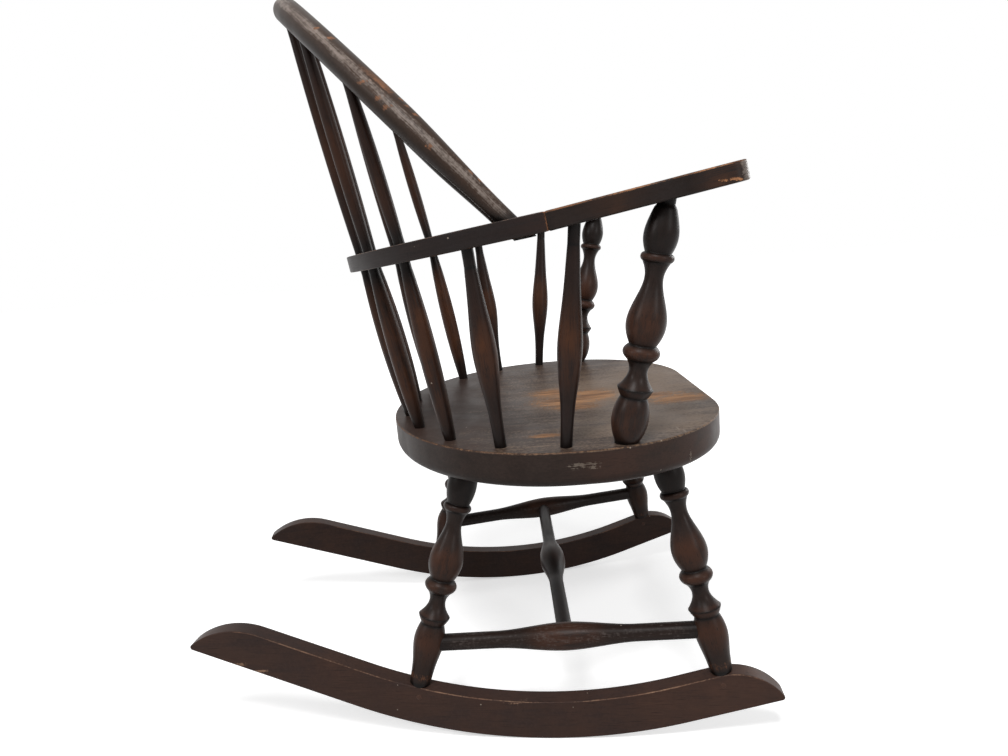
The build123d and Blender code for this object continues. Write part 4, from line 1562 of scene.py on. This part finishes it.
# --- back ---
@dataclass
class BackRail:
    """Flat rail bent round the back at arm height."""

    radius: float = 171.0
    width: float = 24.0
    thickness: float = 12.8
    edge: float = 0.9
    center_y: float = -94.2
    center_height: float = 397.6
    tilt: float = 8.0
    seam_angle: float = 7.0
    steps: int = 240
    wood: StainedWood = StainedWood(
        "rail_stain", "flat_wood", dark="110E0E", stain="26201F", warm="432D25", bare="9A6A4C", painted_sheen="6F6964",
        fibre=0.7, figure=4.0, gloss=0.40, relief=0.06, mottle=0.8)

    @property
    def axes(self) -> Axes:
        """Axes of the rail's middle plane."""
        return Axes.tilted(Vector((0, self.center_y, self.center_height)), self.tilt)

    def point(self, angle: float) -> Vector:
        """Point on the rail's middle line, by its angle round the back."""
        return self.axes.at(*on_circle(self.radius, angle))

    def seam(self) -> Pair:
        """Where the middle line ends, in the rail's plane."""
        return on_circle(self.radius, self.seam_angle)

    def build(self, shop: Workshop) -> bpy.types.Object:
        """Make and dress the rail.

        Args:
            shop: makes the piece.

        Returns:
            The piece.
        """
        path = [self.point(a) for a in np.linspace(self.seam_angle, 180 - self.seam_angle, self.steps + 1)]
        ends = [1.0 - 0.05 * exp(-min(i, self.steps - i) / 0.5) for i in range(self.steps + 1)]
        sizes = {"Width": self.width * MM, "Thickness": self.thickness * MM, "Edge Radius": self.edge * MM,
                 "Board Normal": self.axes.up}
        piece = shop.swept("bent_back_rail", Section.BOARD, path, {"radius_here": ends}, sizes, self.wood)
        local = self.axes.local
        shop.paint(piece, "rub", lambda p: 0.40 * self.on_corner(*local(p)) + 0.55 * self.by_seam(p, 0.6))
        shop.paint(piece, "wear", lambda p: 0.15 + 0.45 * self.by_seam(p, 6))
        shop.paint(piece, "grime_and_shade", lambda p: 0.1)
        # painted sheen on the top face and painted light towards the rear
        shop.paint(piece, "painted_sheen", lambda p: self.painted_light(local(p)[2], p.y))
        shop.hand_over(piece, self.wood, "back_rail")
        return piece

    def on_corner(self, x: float, v: float, h: float) -> float:
        """How far a point in the rail's axes is round one of its four long corners.

        Args:
            x: place across the chair.
            v: place along it.
            h: height over the rail's middle plane.

        Returns:
            1 in the middle of a corner, 0 on the flat faces.
        """
        out = abs(sqrt(x * x + v * v) - self.radius)
        a = (out - (self.width / 2 - self.edge)) / self.edge
        b = (abs(h) - (self.thickness / 2 - self.edge)) / self.edge
        return max(0.0, min(1.0, 2 * a * b)) if a > 0 and b > 0 else 0.0

    def by_seam(self, point: Vector, reach: float) -> float:
        """How near a point is to the rail's ends: 1 at an end, fading over the reach in degrees."""
        x, v, _ = self.axes.local(point)
        return hump(max(0.0, degrees(atan2(v, abs(x))) - self.seam_angle), 0, reach)

    def painted_light(self, h: float, y: float) -> float:
        """Painted light: a pale layer, most on the top face as a painted sheen, some at the rear."""
        return 0.40 if h > self.thickness / 2 - 0.5 else 0.16 * ease(y, 0, 70) + 0.08


@dataclass
class Hoop:
    """Bow bent from one round rod, its feet down through the rail."""

    rail: BackRail
    half_width: float = 165.0
    height: float = 253.5
    crown_bend: float = 106.0
    straight_foot: float = 19.5
    lean: float = 42.2
    foot_v: float = 38.0
    foot_rise: float = 0.33
    spare: float = 8.0
    stub: float = 1.4
    foot_radius: float = 6.2
    bow_radius: float = 9.5
    taper_angle: float = 20.0
    thin_spots: tuple[Spot, ...] = ((150, 6, 26, 7, 0.3), (128, 8, 16, 5, 0.34), (60, 7, 26, 5, 0.34),
                                    (100, 2, 10, 4, 0.2))
    wood: StainedWood = StainedWood(
        "hoop_stain", "bent_wood", dark="17120F", stain="40332C", warm="5C4638", bare="8E6248", painted_sheen="8E827A",
        fibre=0.7, figure=4.0, gloss=0.36, relief=0.08, mottle=1.0, ragged=3.4,
        bare_places=((-153, 28, 479, 1.8, 3.5), (-156, 24, 473, 1.5, 3.5), (-155, 10, 473, 1.3, 2.5),
                     (-157, 5, 467, 1.5, 3), (-152, 14, 478, 1.3, 2.5), (-146, 39, 491, 1.5, 3),
                     (-167, -2, 446, 1.5, 2.5), (-120, 60, 526, 1.8, 3), (-111, 72, 535, 1.5, 3),
                     (-167, -27, 429, 1.5, 3), (-166, -32, 423, 1.5, 4), (-166, -38, 417, 1.4, 4)))

    @property
    def axes(self) -> Axes:
        """Axes of the bow's own plane, from its feet.

        Returns:
            The axes; along runs up the bow, up points to its front and upper side.
        """
        lean = radians(self.lean)
        origin = self.rail.axes.at(0, self.foot_v, self.foot_rise - self.rail.thickness / 2)
        return Axes(origin, Vector((1, 0, 0)), Vector((0, sin(lean), cos(lean))), Vector((0, -cos(lean), sin(lean))))

    @property
    def side_bend(self) -> float:
        """Radius of the side bends, which meet the crown bend without a corner.

        Returns:
            The radius.
        """
        rise = self.height - self.straight_foot
        across = self.half_width**2 + rise**2 - 2 * rise * self.crown_bend
        return across / (2 * (self.half_width - self.crown_bend))

    @property
    def join_angle(self) -> float:
        """Angle round the side bend at which the crown bend takes over."""
        rise = self.height - self.straight_foot - self.crown_bend
        return degrees(atan2(rise, self.side_bend - self.half_width))

    def point(self, offset: float) -> Vector:
        """Point on the bow's middle line.

        Args:
            offset: distance from the centre plane.

        Returns:
            The point.
        """
        if offset < self.crown_bend * cos(radians(self.join_angle)):
            height = self.height - self.crown_bend + sqrt(self.crown_bend**2 - offset**2)
        else:
            bend = self.side_bend
            height = self.straight_foot + sqrt(bend**2 - (offset - self.half_width + bend) ** 2)
        return self.axes.at(offset, height)

    def half_line(self) -> list[Triple]:
        """Left half of the middle line, from below the rail to the crown.

        Returns:
            For each point its places across and up the bow, and the rod's radius there.
        """
        points = [(self.half_width, h, self.foot_radius) for h in np.linspace(-self.spare, self.straight_foot, 14)]
        bend, join = self.side_bend, self.join_angle
        for angle in np.linspace(0, join, 70)[1:]:
            x, y = on_circle(bend, angle)
            radius = self.foot_radius + (self.bow_radius - self.foot_radius) * ease(angle, 0, self.taper_angle)
            points.append((self.half_width - bend + x, self.straight_foot + y, radius))
        for angle in np.linspace(join, 90, 50)[1:]:
            x, y = on_circle(self.crown_bend, angle)
            points.append((x, self.height - self.crown_bend + y, self.bow_radius))
        return points

    def build(self, shop: Workshop) -> bpy.types.Object:
        """Make and dress the bow.

        Args:
            shop: makes the piece.

        Returns:
            The piece.
        """
        half = self.half_line()
        line = half + [(-x, y, r) for x, y, r in reversed(half[:-1])]
        axes, rail = self.axes, self.rail.axes
        piece = shop.swept("bent_hoop", Section.ROUND, [axes.at(x, y) for x, y, _ in line],
                           {"radius_here": [r * MM for _, _, r in line]}, {"Facets": 44}, self.wood)
        shop.trim(piece, rail.at(0, 0, -self.rail.thickness / 2 - self.stub), -rail.up)
        shop.paint(piece, "rub", lambda p: spotted(*axes.local(p)[1:], self.thin_spots))
        shop.paint(piece, "wear", lambda p: 0.35)
        # painted shade behind the bow and on its front, with dirt and painted shade at the rail
        shop.paint(piece, "grime_and_shade", lambda p: self.dirt_and_shade(axes.local(p)[2], rail.local(p)[2]))
        # painted highlight: a pale band along the bow's upper front side
        shop.paint(piece, "painted_sheen", lambda p: 0.05 + 0.40 * hump(axes.local(p)[2], 2.0, 5.5))
        shop.hand_over(piece, self.wood, "hoop")
        return piece

    def dirt_and_shade(self, out: float, height: float) -> float:
        """Painted shade behind the bow and on its front, with soil and painted shade at the rail; out is from its
        plane, height from the rail's.
        """
        foot = hump(max(0.0, height - self.rail.thickness / 2), 0, 5)
        return min(1.0, 0.9 * foot + 0.6 * ease(-out, -1, 8) + 0.25 * ease(out, 5, 9))


@dataclass
class Arms:
    """Flat arms that carry the rail's ends on to the front and flare outwards."""

    rail: BackRail
    tilt: float = 10.0
    thickness: float = 12.8
    length: float = 127.0
    paddle_width: float = 43.0
    flare_start: float = 55.0
    flare_end: float = 86.0
    flare_width: float = 9.0
    flare_corner: float = 8.0
    corner: float = 12.0
    edge: float = 1.5
    wood: StainedWood = StainedWood(
        "arm_stain", "flat_wood", dark="110E0D", stain="27201E", warm="553624", bare="AC7A56", painted_sheen="857B74",
        fibre=0.7, figure=4.0, gloss=0.38, relief=0.06, mottle=0.8, ragged=3.4,
        bare_places=((-190.5, -187, 411, 0.8, 4), (-190.5, -181, 410.5, 0.7, 3), (-190.5, -190, 410.5, 0.8, 3)),
        pale_places=((-189.4, -191.5, 419.3, 1.2, 1.0),))

    @property
    def axes(self) -> Axes:
        """Axes of the arms' middle plane, from the seam."""
        return Axes.tilted(self.rail.axes.at(0, self.rail.seam()[1]), self.tilt)

    def outline(self) -> Outline:
        """The left arm's outline, counter-clockwise from the seam's inner corner.

        Returns:
            The corner points.
        """
        seam_x = self.rail.seam()[0]
        inner, outer = seam_x - self.rail.width / 2, seam_x + self.rail.width / 2
        lean = tan(radians(self.rail.seam_angle))
        swell = outer + self.flare_width
        palm = swell - self.paddle_width
        seam_inner, seam_outer = (Vector((x, (x - seam_x) * lean)) for x in (inner, outer))
        bend = -self.flare_start / 2
        points = [seam_inner, *between(seam_inner, Vector((inner, bend)), 14), Vector((inner, bend))]
        for t in np.linspace(0, 1, 26)[1:]:
            points.append(Vector((inner + (palm - inner) * ease(t, 0, 1), bend + (-bend - self.flare_end) * t)))
        a, b = Vector((palm, -self.length)), Vector((swell, -self.length))
        first = rounded_corner(Vector((palm, 0)), a, b, self.corner, 12)
        second = rounded_corner(a, b, Vector((swell, 0)), self.corner, 12)
        points += between(points[-1], first[0], 10) + first
        points += between(first[-1], second[0], 8) + second
        flare = self.flare_points(outer, swell)
        points += between(points[-1], flare[0], 8) + flare
        points += between(points[-1], seam_outer, 24) + [seam_outer]
        return [(p.x, p.y) for p in points + between(seam_outer, seam_inner, 10)]

    def flare_points(self, outer: float, swell: float) -> list[Vector]:
        """Outer edge from the flare's widest point back to the straight run.

        Args:
            outer: x of the straight run.
            swell: x of the widest point.

        Returns:
            The points.
        """
        run, rise = self.flare_end - self.flare_start, swell - outer
        radius = (run**2 + rise**2) / (2 * rise)
        arc = [Vector((outer + radius * (1 - cos(a)), -self.flare_start - radius * sin(a)))
               for a in np.linspace(atan2(run, radius - rise), 0, 18)]
        after = 4                     # the arc's point that its rounded corner aims at
        return rounded_corner(arc[0] + Vector((0, -10)), arc[0], arc[after], self.flare_corner) + arc[after:]

    def build(self, shop: Workshop, side: Side) -> bpy.types.Object:
        """Make and dress one arm.

        Args:
            shop: makes the piece.
            side: the chair's side.

        Returns:
            The piece.
        """
        a = self.axes
        axes = Axes(side.place(a.origin), side.place(a.across), a.along, a.up)
        piece = shop.board("arm_board_" + side.label, self.outline(), axes, self.thickness, self.edge, self.wood,
                           lambda x, v, h: (x, h, v))
        shop.rub_edges(piece, lambda p: self.edge_wear(*axes.local(p)[1:]))
        shop.paint(piece, "wear", lambda p: 0.95 * hump(self.forward(p), 108, 12) + 0.3 * hump(self.forward(p), 40, 14)
                   + 0.12)
        # painted light on the front end and where the flare turns
        shop.paint(piece, "painted_sheen", lambda p: self.painted_light(*axes.local(p)[1:]))
        # painted shade just ahead of the flare's corner, and a dark joint at the seam
        shop.paint(piece, "grime_and_shade", lambda p: 0.4 * hump(self.forward(p), 88, 7) + 0.4 * hump(self.forward(p), 0, 2))
        shop.hand_over(piece, self.wood, "arm_" + side.label)
        return piece

    def forward(self, point: Vector) -> float:
        """How far forward of the seam a point is."""
        return -self.axes.local(point)[1]

    def edge_wear(self, along: float, up: float) -> float:
        """How far the arm's edges are rubbed: the upper ones all along, the lower ones in front.

        Args:
            along: place behind the seam.
            up: height over the arm's middle plane.

        Returns:
            The rub.
        """
        if up < 0:
            return 0.2 + 0.2 * ease(-along, 95, 115)
        return 0.44 + 0.06 * sin(-along / 7.0)

    def painted_light(self, along: float, up: float) -> float:
        """Painted light: a pale layer on the arm's front end and where the flare turns half way along it, weaker on
        its top face.
        """
        on_side = 1 - 0.7 * ease(up, self.thickness / 2 - 0.9, self.thickness / 2 - 0.1)
        return on_side * (0.5 * ease(-along, 116, 122) + 0.2 * hump(-along, 74, 7))


@dataclass
class Posts:
    """Turned posts that carry the arms."""

    seat: Seat
    arms: Arms
    pattern: TurnedPattern
    foot_length: float = 33.0
    foot_radius: float = 12.7
    foot_belly: float = 21.0
    ankle: float = 8.0
    shoulder: float = 7.3
    neck: float = 5.8
    neck_length: float = 4.5
    overrun: float = 3.0
    seat_v: float = -35.0
    arm_x: float = 168.5
    reach: float = 77.0

    def build(self, shop: Workshop, side: Side) -> bpy.types.Object:
        """Make and dress one post.

        Args:
            shop: makes the piece.
            side: the chair's side.

        Returns:
            The piece.
        """
        foot = side.place(self.seat.axes.at(self.seat.width / 2 - self.seat.row_inset, self.seat_v))
        head = side.place(self.arms.axes.at(self.arm_x, -self.reach, -self.arms.thickness / 2))
        length = (head - foot).length
        pattern = self.pattern
        runs, ring_top = pattern.runs(self.foot_length)
        shoulder = length - self.neck_length
        neck = shoulder + self.neck_length / 2
        outline = [
            line_run((-self.overrun, self.ankle), (0, self.ankle)),
            spline_run((0, self.ankle), (self.foot_belly, self.foot_radius), (self.foot_length, pattern.groove)),
            *runs,
            spline_run(ring_top, (ring_top[0] + pattern.bulb_belly, pattern.bulb),
                       (ring_top[0] + pattern.bulb_shoulder_height, pattern.bulb_shoulder),
                       (shoulder, self.shoulder)),
            line_run((shoulder, self.shoulder), (neck, self.neck)),
            line_run((neck, self.neck), (length + self.overrun, self.neck)),
        ]
        piece = shop.turned("turned_post_" + side.label, foot, head, outline, pattern.wood, facets=48,
                           dark_from=ring_top[0])
        shop.hand_over(piece, pattern.wood, "arm_post_" + side.label)
        return piece


@dataclass
class Spindles:
    """Long spindles up into the hoop and short ones up into the rail and arms."""

    seat: Seat
    rail: BackRail
    hoop: Hoop
    arms: Arms
    seat_radius: float = 4.35
    rail_radius: float = 4.1
    rail_length: float = 22.0
    top_radius: float = 3.75
    top_length: float = 20.0
    lower_swell: float = 7.1
    upper_swell: float = 5.1
    arm_radius: float = 4.15
    arm_length: float = 12.0
    arm_swell: tuple[Pair, ...] = ((34.0, 5.5), (67.0, 8.65), (102.0, 6.4))
    overrun: float = 3.0
    places: dict[str, Triple] = field(default_factory=lambda: {
        "inner": (80.0, 80.3, 31.0), "middle": (63.0, 64.0, 78.0), "outer": (43.0, 46.0, 122.0)})
    rear_angles: Pair = (23.3, 26.3)
    front_angle: float = 2.9
    front_reach: float = 16.0
    wood: StainedWood = StainedWood(
        "spindle_stain", "turned_wood", dark="120C0A", stain="271B17", warm="523220", bare="8A6048", painted_sheen="5E5450",
        fibre=0.6, figure=4.0, gloss=0.34, relief=0.04, mottle=0.7)

    def foot_run(self) -> Run:
        """The straight run that every spindle starts with, inside the seat."""
        return line_run((-self.overrun, self.seat_radius), (0, self.seat_radius))

    def build_long(self, shop: Workshop, name: str, side: Side) -> bpy.types.Object:
        """Make and dress one long spindle, which bends a little inside the rail.

        Args:
            shop: makes the piece.
            name: its place in the row: inner, middle or outer.
            side: the chair's side.

        Returns:
            The piece.
        """
        seat_angle, rail_angle, offset = self.places[name]
        bottom, bend = side.place(self.seat.row_point(seat_angle)), side.place(self.rail.point(rail_angle))
        top = side.place(self.hoop.point(offset))
        lower, upper = (bend - bottom).length, (top - bend).length
        plain, narrow = self.rail_length / 2, upper - self.top_length
        first = joined([
            self.foot_run(),
            spline_run((0, self.seat_radius), (lower / 2, self.lower_swell), (lower - plain, self.rail_radius)),
            line_run((lower - plain, self.rail_radius), (lower, self.rail_radius)),
        ])
        second = joined([
            line_run((0, self.rail_radius), (plain, self.rail_radius)),
            spline_run((plain, self.rail_radius), (upper / 2, self.upper_swell), (narrow, self.top_radius)),
            line_run((narrow, self.top_radius), (upper - self.overrun, self.top_radius)),
        ])
        up_low, up_high = (bend - bottom).normalized(), (top - bend).normalized()
        points = [(bottom + up_low * h, r, h) for h, r in first]
        points += [(bend + up_high * h, r, lower + h) for h, r in second[1:]]
        stored = {"radius_here": [r * MM for _, r, _ in points],
                  "wear": [ease(r, 4.0, 6.0) * 0.9 + 0.1 for _, r, _ in points],
                  # darkening near the joints: dirt and painted shade
                  "grime_and_shade": [self.dirt_and_shade(h, lower, lower + upper) for _, _, h in points]}
        label = name + "_" + side.label
        piece = shop.swept("long_spindle_" + label, Section.ROUND, [p for p, _, _ in points], stored,
                           {"Facets": 30}, self.wood)
        shop.hand_over(piece, self.wood, "back_spindle_" + label)
        return piece

    def dirt_and_shade(self, height: float, rail: float, top: float) -> float:
        """Dirt and painted shade where a long spindle meets the seat, the rail's middle and, at its top, the hoop."""
        near = [height / 26, (height - rail + 6) / 16, (height - rail - 6) / 16, (top - 9 - height) / 12]
        return min(0.9, 0.75 * sum(exp(-min(d * d, 30)) for d in near))

    def build_short(self, shop: Workshop, place: LegPlace, side: Side) -> bpy.types.Object:
        """Make and dress one short spindle.

        Args:
            shop: makes the piece.
            place: the rear one, under the rail, or the front one, under the arm.
            side: the chair's side.

        Returns:
            The piece.
        """
        if place is LegPlace.REAR:
            bottom = self.seat.row_point(self.rear_angles[0])
            top = self.rail.axes.at(*on_circle(self.rail.radius, self.rear_angles[1]), -self.rail.thickness / 2)
        else:
            bottom = self.seat.row_point(self.front_angle)
            top = self.arms.axes.at(self.rail.seam()[0], -self.front_reach, -self.arms.thickness / 2)
        bottom, top = side.place(bottom), side.place(top)
        length = (top - bottom).length
        plain = length - self.arm_length
        outline = [
            self.foot_run(),
            spline_run((0, self.seat_radius), *self.arm_swell, (plain, self.arm_radius)),
            line_run((plain, self.arm_radius), (length + self.overrun, self.arm_radius)),
        ]
        label = place.value + "_" + side.label
        piece = shop.turned("short_spindle_" + label, bottom, top, outline, self.wood, facets=36, ends=(16.0, 12.0))
        shop.hand_over(piece, self.wood, "arm_spindle_" + label)
        return piece


# --- studio ---
@dataclass(frozen=True)
class Lamp:
    """A square soft lamp.

    Args:
        name: its name.
        place: where it hangs, m.
        size: length of its side, m.
        power: its power, W.
        aim: the point that it faces, m.
    """

    name: str
    place: Triple
    size: float
    power: float
    aim: Triple = (0, 0, 0.3)

    def hang(self) -> None:
        """Add the lamp to the scene."""
        data = bpy.data.lights.new(self.name, "AREA")
        data.shape = "SQUARE"
        data.size = self.size
        data.energy = self.power
        lamp = placed(self.name, data)
        lamp.location = self.place
        lamp.rotation_euler = (Vector(self.aim) - Vector(self.place)).to_track_quat("-Z", "Y").to_euler()


@dataclass
class Studio:
    """Pale floor, soft lamps, white surroundings and the camera."""

    camera_place: Triple = (-0.640, -0.03953, 0.39039)
    right: Triple = (-0.01217, -0.99712, -0.07498)
    up: Triple = (0.19889, -0.07590, 0.97709)
    ahead: Triple = (0.97995, 0.00303, -0.19924)
    lens: float = 25.714
    sensor: float = 36.0
    floor_reach: float = 6.0
    floor_height: float = -0.0005
    unseen_floor: tuple[float, float, float, float] = (0.32, 0.32, 0.32, 1)
    white: tuple[float, float, float, float] = (1, 1, 1, 1)
    world_light: float = 0.25
    lamps: tuple[Lamp, ...] = (
        Lamp("key", (-1.0, 0.15, 1.75), 0.5, 22),
        Lamp("rear_strip", (-0.9, 1.5, 1.2), 0.25, 9),
        Lamp("front_fill", (-1.5, -1.4, 1.0), 0.5, 9.5),
        Lamp("far_fill", (0.95, -1.5, 0.75), 0.6, 9, (0, 0, 0.25)))

    def camera(self) -> None:
        """Set up the camera."""
        data = bpy.data.cameras.new("camera")
        data.lens = self.lens
        data.sensor_width = self.sensor
        data.sensor_fit = "HORIZONTAL"
        data.clip_start = 0.01
        data.clip_end = 50
        camera = placed("camera", data)
        columns = [Vector(self.right), Vector(self.up), -Vector(self.ahead)]
        camera.matrix_world = Matrix.Translation(self.camera_place) @ Matrix(columns).transposed().to_4x4()
        bpy.context.scene.camera = camera

    def floor(self) -> bpy.types.Object:
        """The floor, which shows white to the camera where no shadow falls.

        Returns:
            The floor.
        """
        mesh = bpy.data.meshes.new("floor")
        r, z = self.floor_reach, self.floor_height
        mesh.from_pydata([(-r, -r, z), (r, -r, z), (r, r, z), (-r, r, z)], [], [(0, 1, 2, 3)])
        floor = placed("floor", mesh)
        mesh.materials.append(self.floor_finish())
        return floor

    def floor_finish(self) -> bpy.types.Material:
        """The floor's material: pale with a glow to the camera, grey to the light that it throws back.

        Returns:
            The material.
        """
        material = bpy.data.materials.new("pale_floor")
        n = Nodes.of(material)
        place = n.add("ShaderNodeTexCoord").outputs["Object"]
        cloud = n.remap(n.noise(place, (3, 3, 3), 2.0), 0.3, 0.7, 0.90, 0.93)
        tint = n.add("ShaderNodeCombineColor", Red=cloud, Green=cloud, Blue=cloud).outputs[0]
        paper = n.add("ShaderNodeBsdfDiffuse", Color=tint).outputs[0]
        away = n.add("ShaderNodeVectorMath", operation="LENGTH", Vector=place).outputs["Value"]
        strength = n.remap(away, 0.45, 1.1, 0.5, 1.0)
        glow = n.add("ShaderNodeEmission", Color=self.white, Strength=strength).outputs[0]
        lit = n.add("ShaderNodeAddShader")
        for index, shader in enumerate((paper, glow)):
            n.set(lit, index, shader)
        unseen = n.add("ShaderNodeBsdfDiffuse", Color=self.unseen_floor).outputs[0]
        choice = n.add("ShaderNodeMixShader")
        for index, item in enumerate((self.seen(n), unseen, lit.outputs[0])):
            n.set(choice, index, item)
        n.add("ShaderNodeOutputMaterial", Surface=choice.outputs[0])
        return material

    def seen(self, n: Nodes) -> Socket:
        """Whether a ray comes from the camera, or is a mirrored or refracted one.

        Args:
            n: the nodes of the floor or the world.

        Returns:
            1 for such a ray, 0 for others.
        """
        path = n.add("ShaderNodeLightPath").outputs
        both = n.math("MAXIMUM", path["Is Camera Ray"], path["Is Glossy Ray"])
        return n.math("MAXIMUM", both, path["Is Transmission Ray"])

    def world(self) -> None:
        """White surroundings to look at, and a dimmer light from them."""
        world = bpy.data.worlds.new("studio")
        bpy.context.scene.world = world
        n = Nodes.of(world)
        strength = n.remap(self.seen(n), 0.0, 1.0, self.world_light, 1.0)
        sky = n.add("ShaderNodeBackground", Color=self.white, Strength=strength)
        n.add("ShaderNodeOutputWorld", Surface=sky.outputs[0])

    def build(self) -> None:
        """Set up everything round the chair."""
        bpy.context.scene.view_settings.view_transform = "Standard"
        self.camera()
        self.floor()
        self.world()
        for lamp in self.lamps:
            lamp.hang()


@dataclass
class RockingChair:
    """The whole chair."""

    seat: Seat = field(default_factory=Seat)
    rockers: Rockers = field(default_factory=Rockers)
    pattern: TurnedPattern = field(default_factory=TurnedPattern)
    rail: BackRail = field(default_factory=BackRail)

    def build(self, shop: Workshop) -> list[bpy.types.Object]:
        """Build each sub-assembly in order.

        Args:
            shop: makes the pieces.

        Returns:
            The pieces.
        """
        legs = Legs(self.seat, self.rockers, self.pattern)
        stretchers = Stretchers(legs)
        hoop = Hoop(self.rail)
        arms = Arms(self.rail)
        posts = Posts(self.seat, arms, self.pattern)
        spindles = Spindles(self.seat, self.rail, hoop, arms)
        pieces = [self.seat.build(shop), self.rail.build(shop), hoop.build(shop), stretchers.build_center(shop)]
        pieces.append(self.rockers.build_pins(shop, [legs.front[2], legs.rear[2]]))
        for side in Side:
            pieces.append(self.rockers.build(shop, side))
            pieces += [legs.build(shop, which, side) for which in LegPlace]
            pieces.append(stretchers.build_side(shop, side))
            pieces.append(arms.build(shop, side))
            pieces.append(posts.build(shop, side))
            pieces += [spindles.build_long(shop, name, side) for name in spindles.places]
            pieces += [spindles.build_short(shop, place, side) for place in LegPlace]
        return pieces


def main() -> None:
    """Build the chair and its studio, and log each piece's face count."""
    logging.basicConfig(level=logging.INFO, format="%(name)s: %(message)s")
    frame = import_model()
    shop = Workshop()
    chair = RockingChair()
    for piece in chair.build(shop):
        log.info("%s: %d faces", piece.name, len(piece.data.polygons))
    dowels = frame["nodes"]["arm_dowels"]
    dowels.data.materials.clear()
    dowels.data.materials.append(shop.finish(chair.pattern.wood))
    Studio().build()


if __name__ == "__main__":
    main()
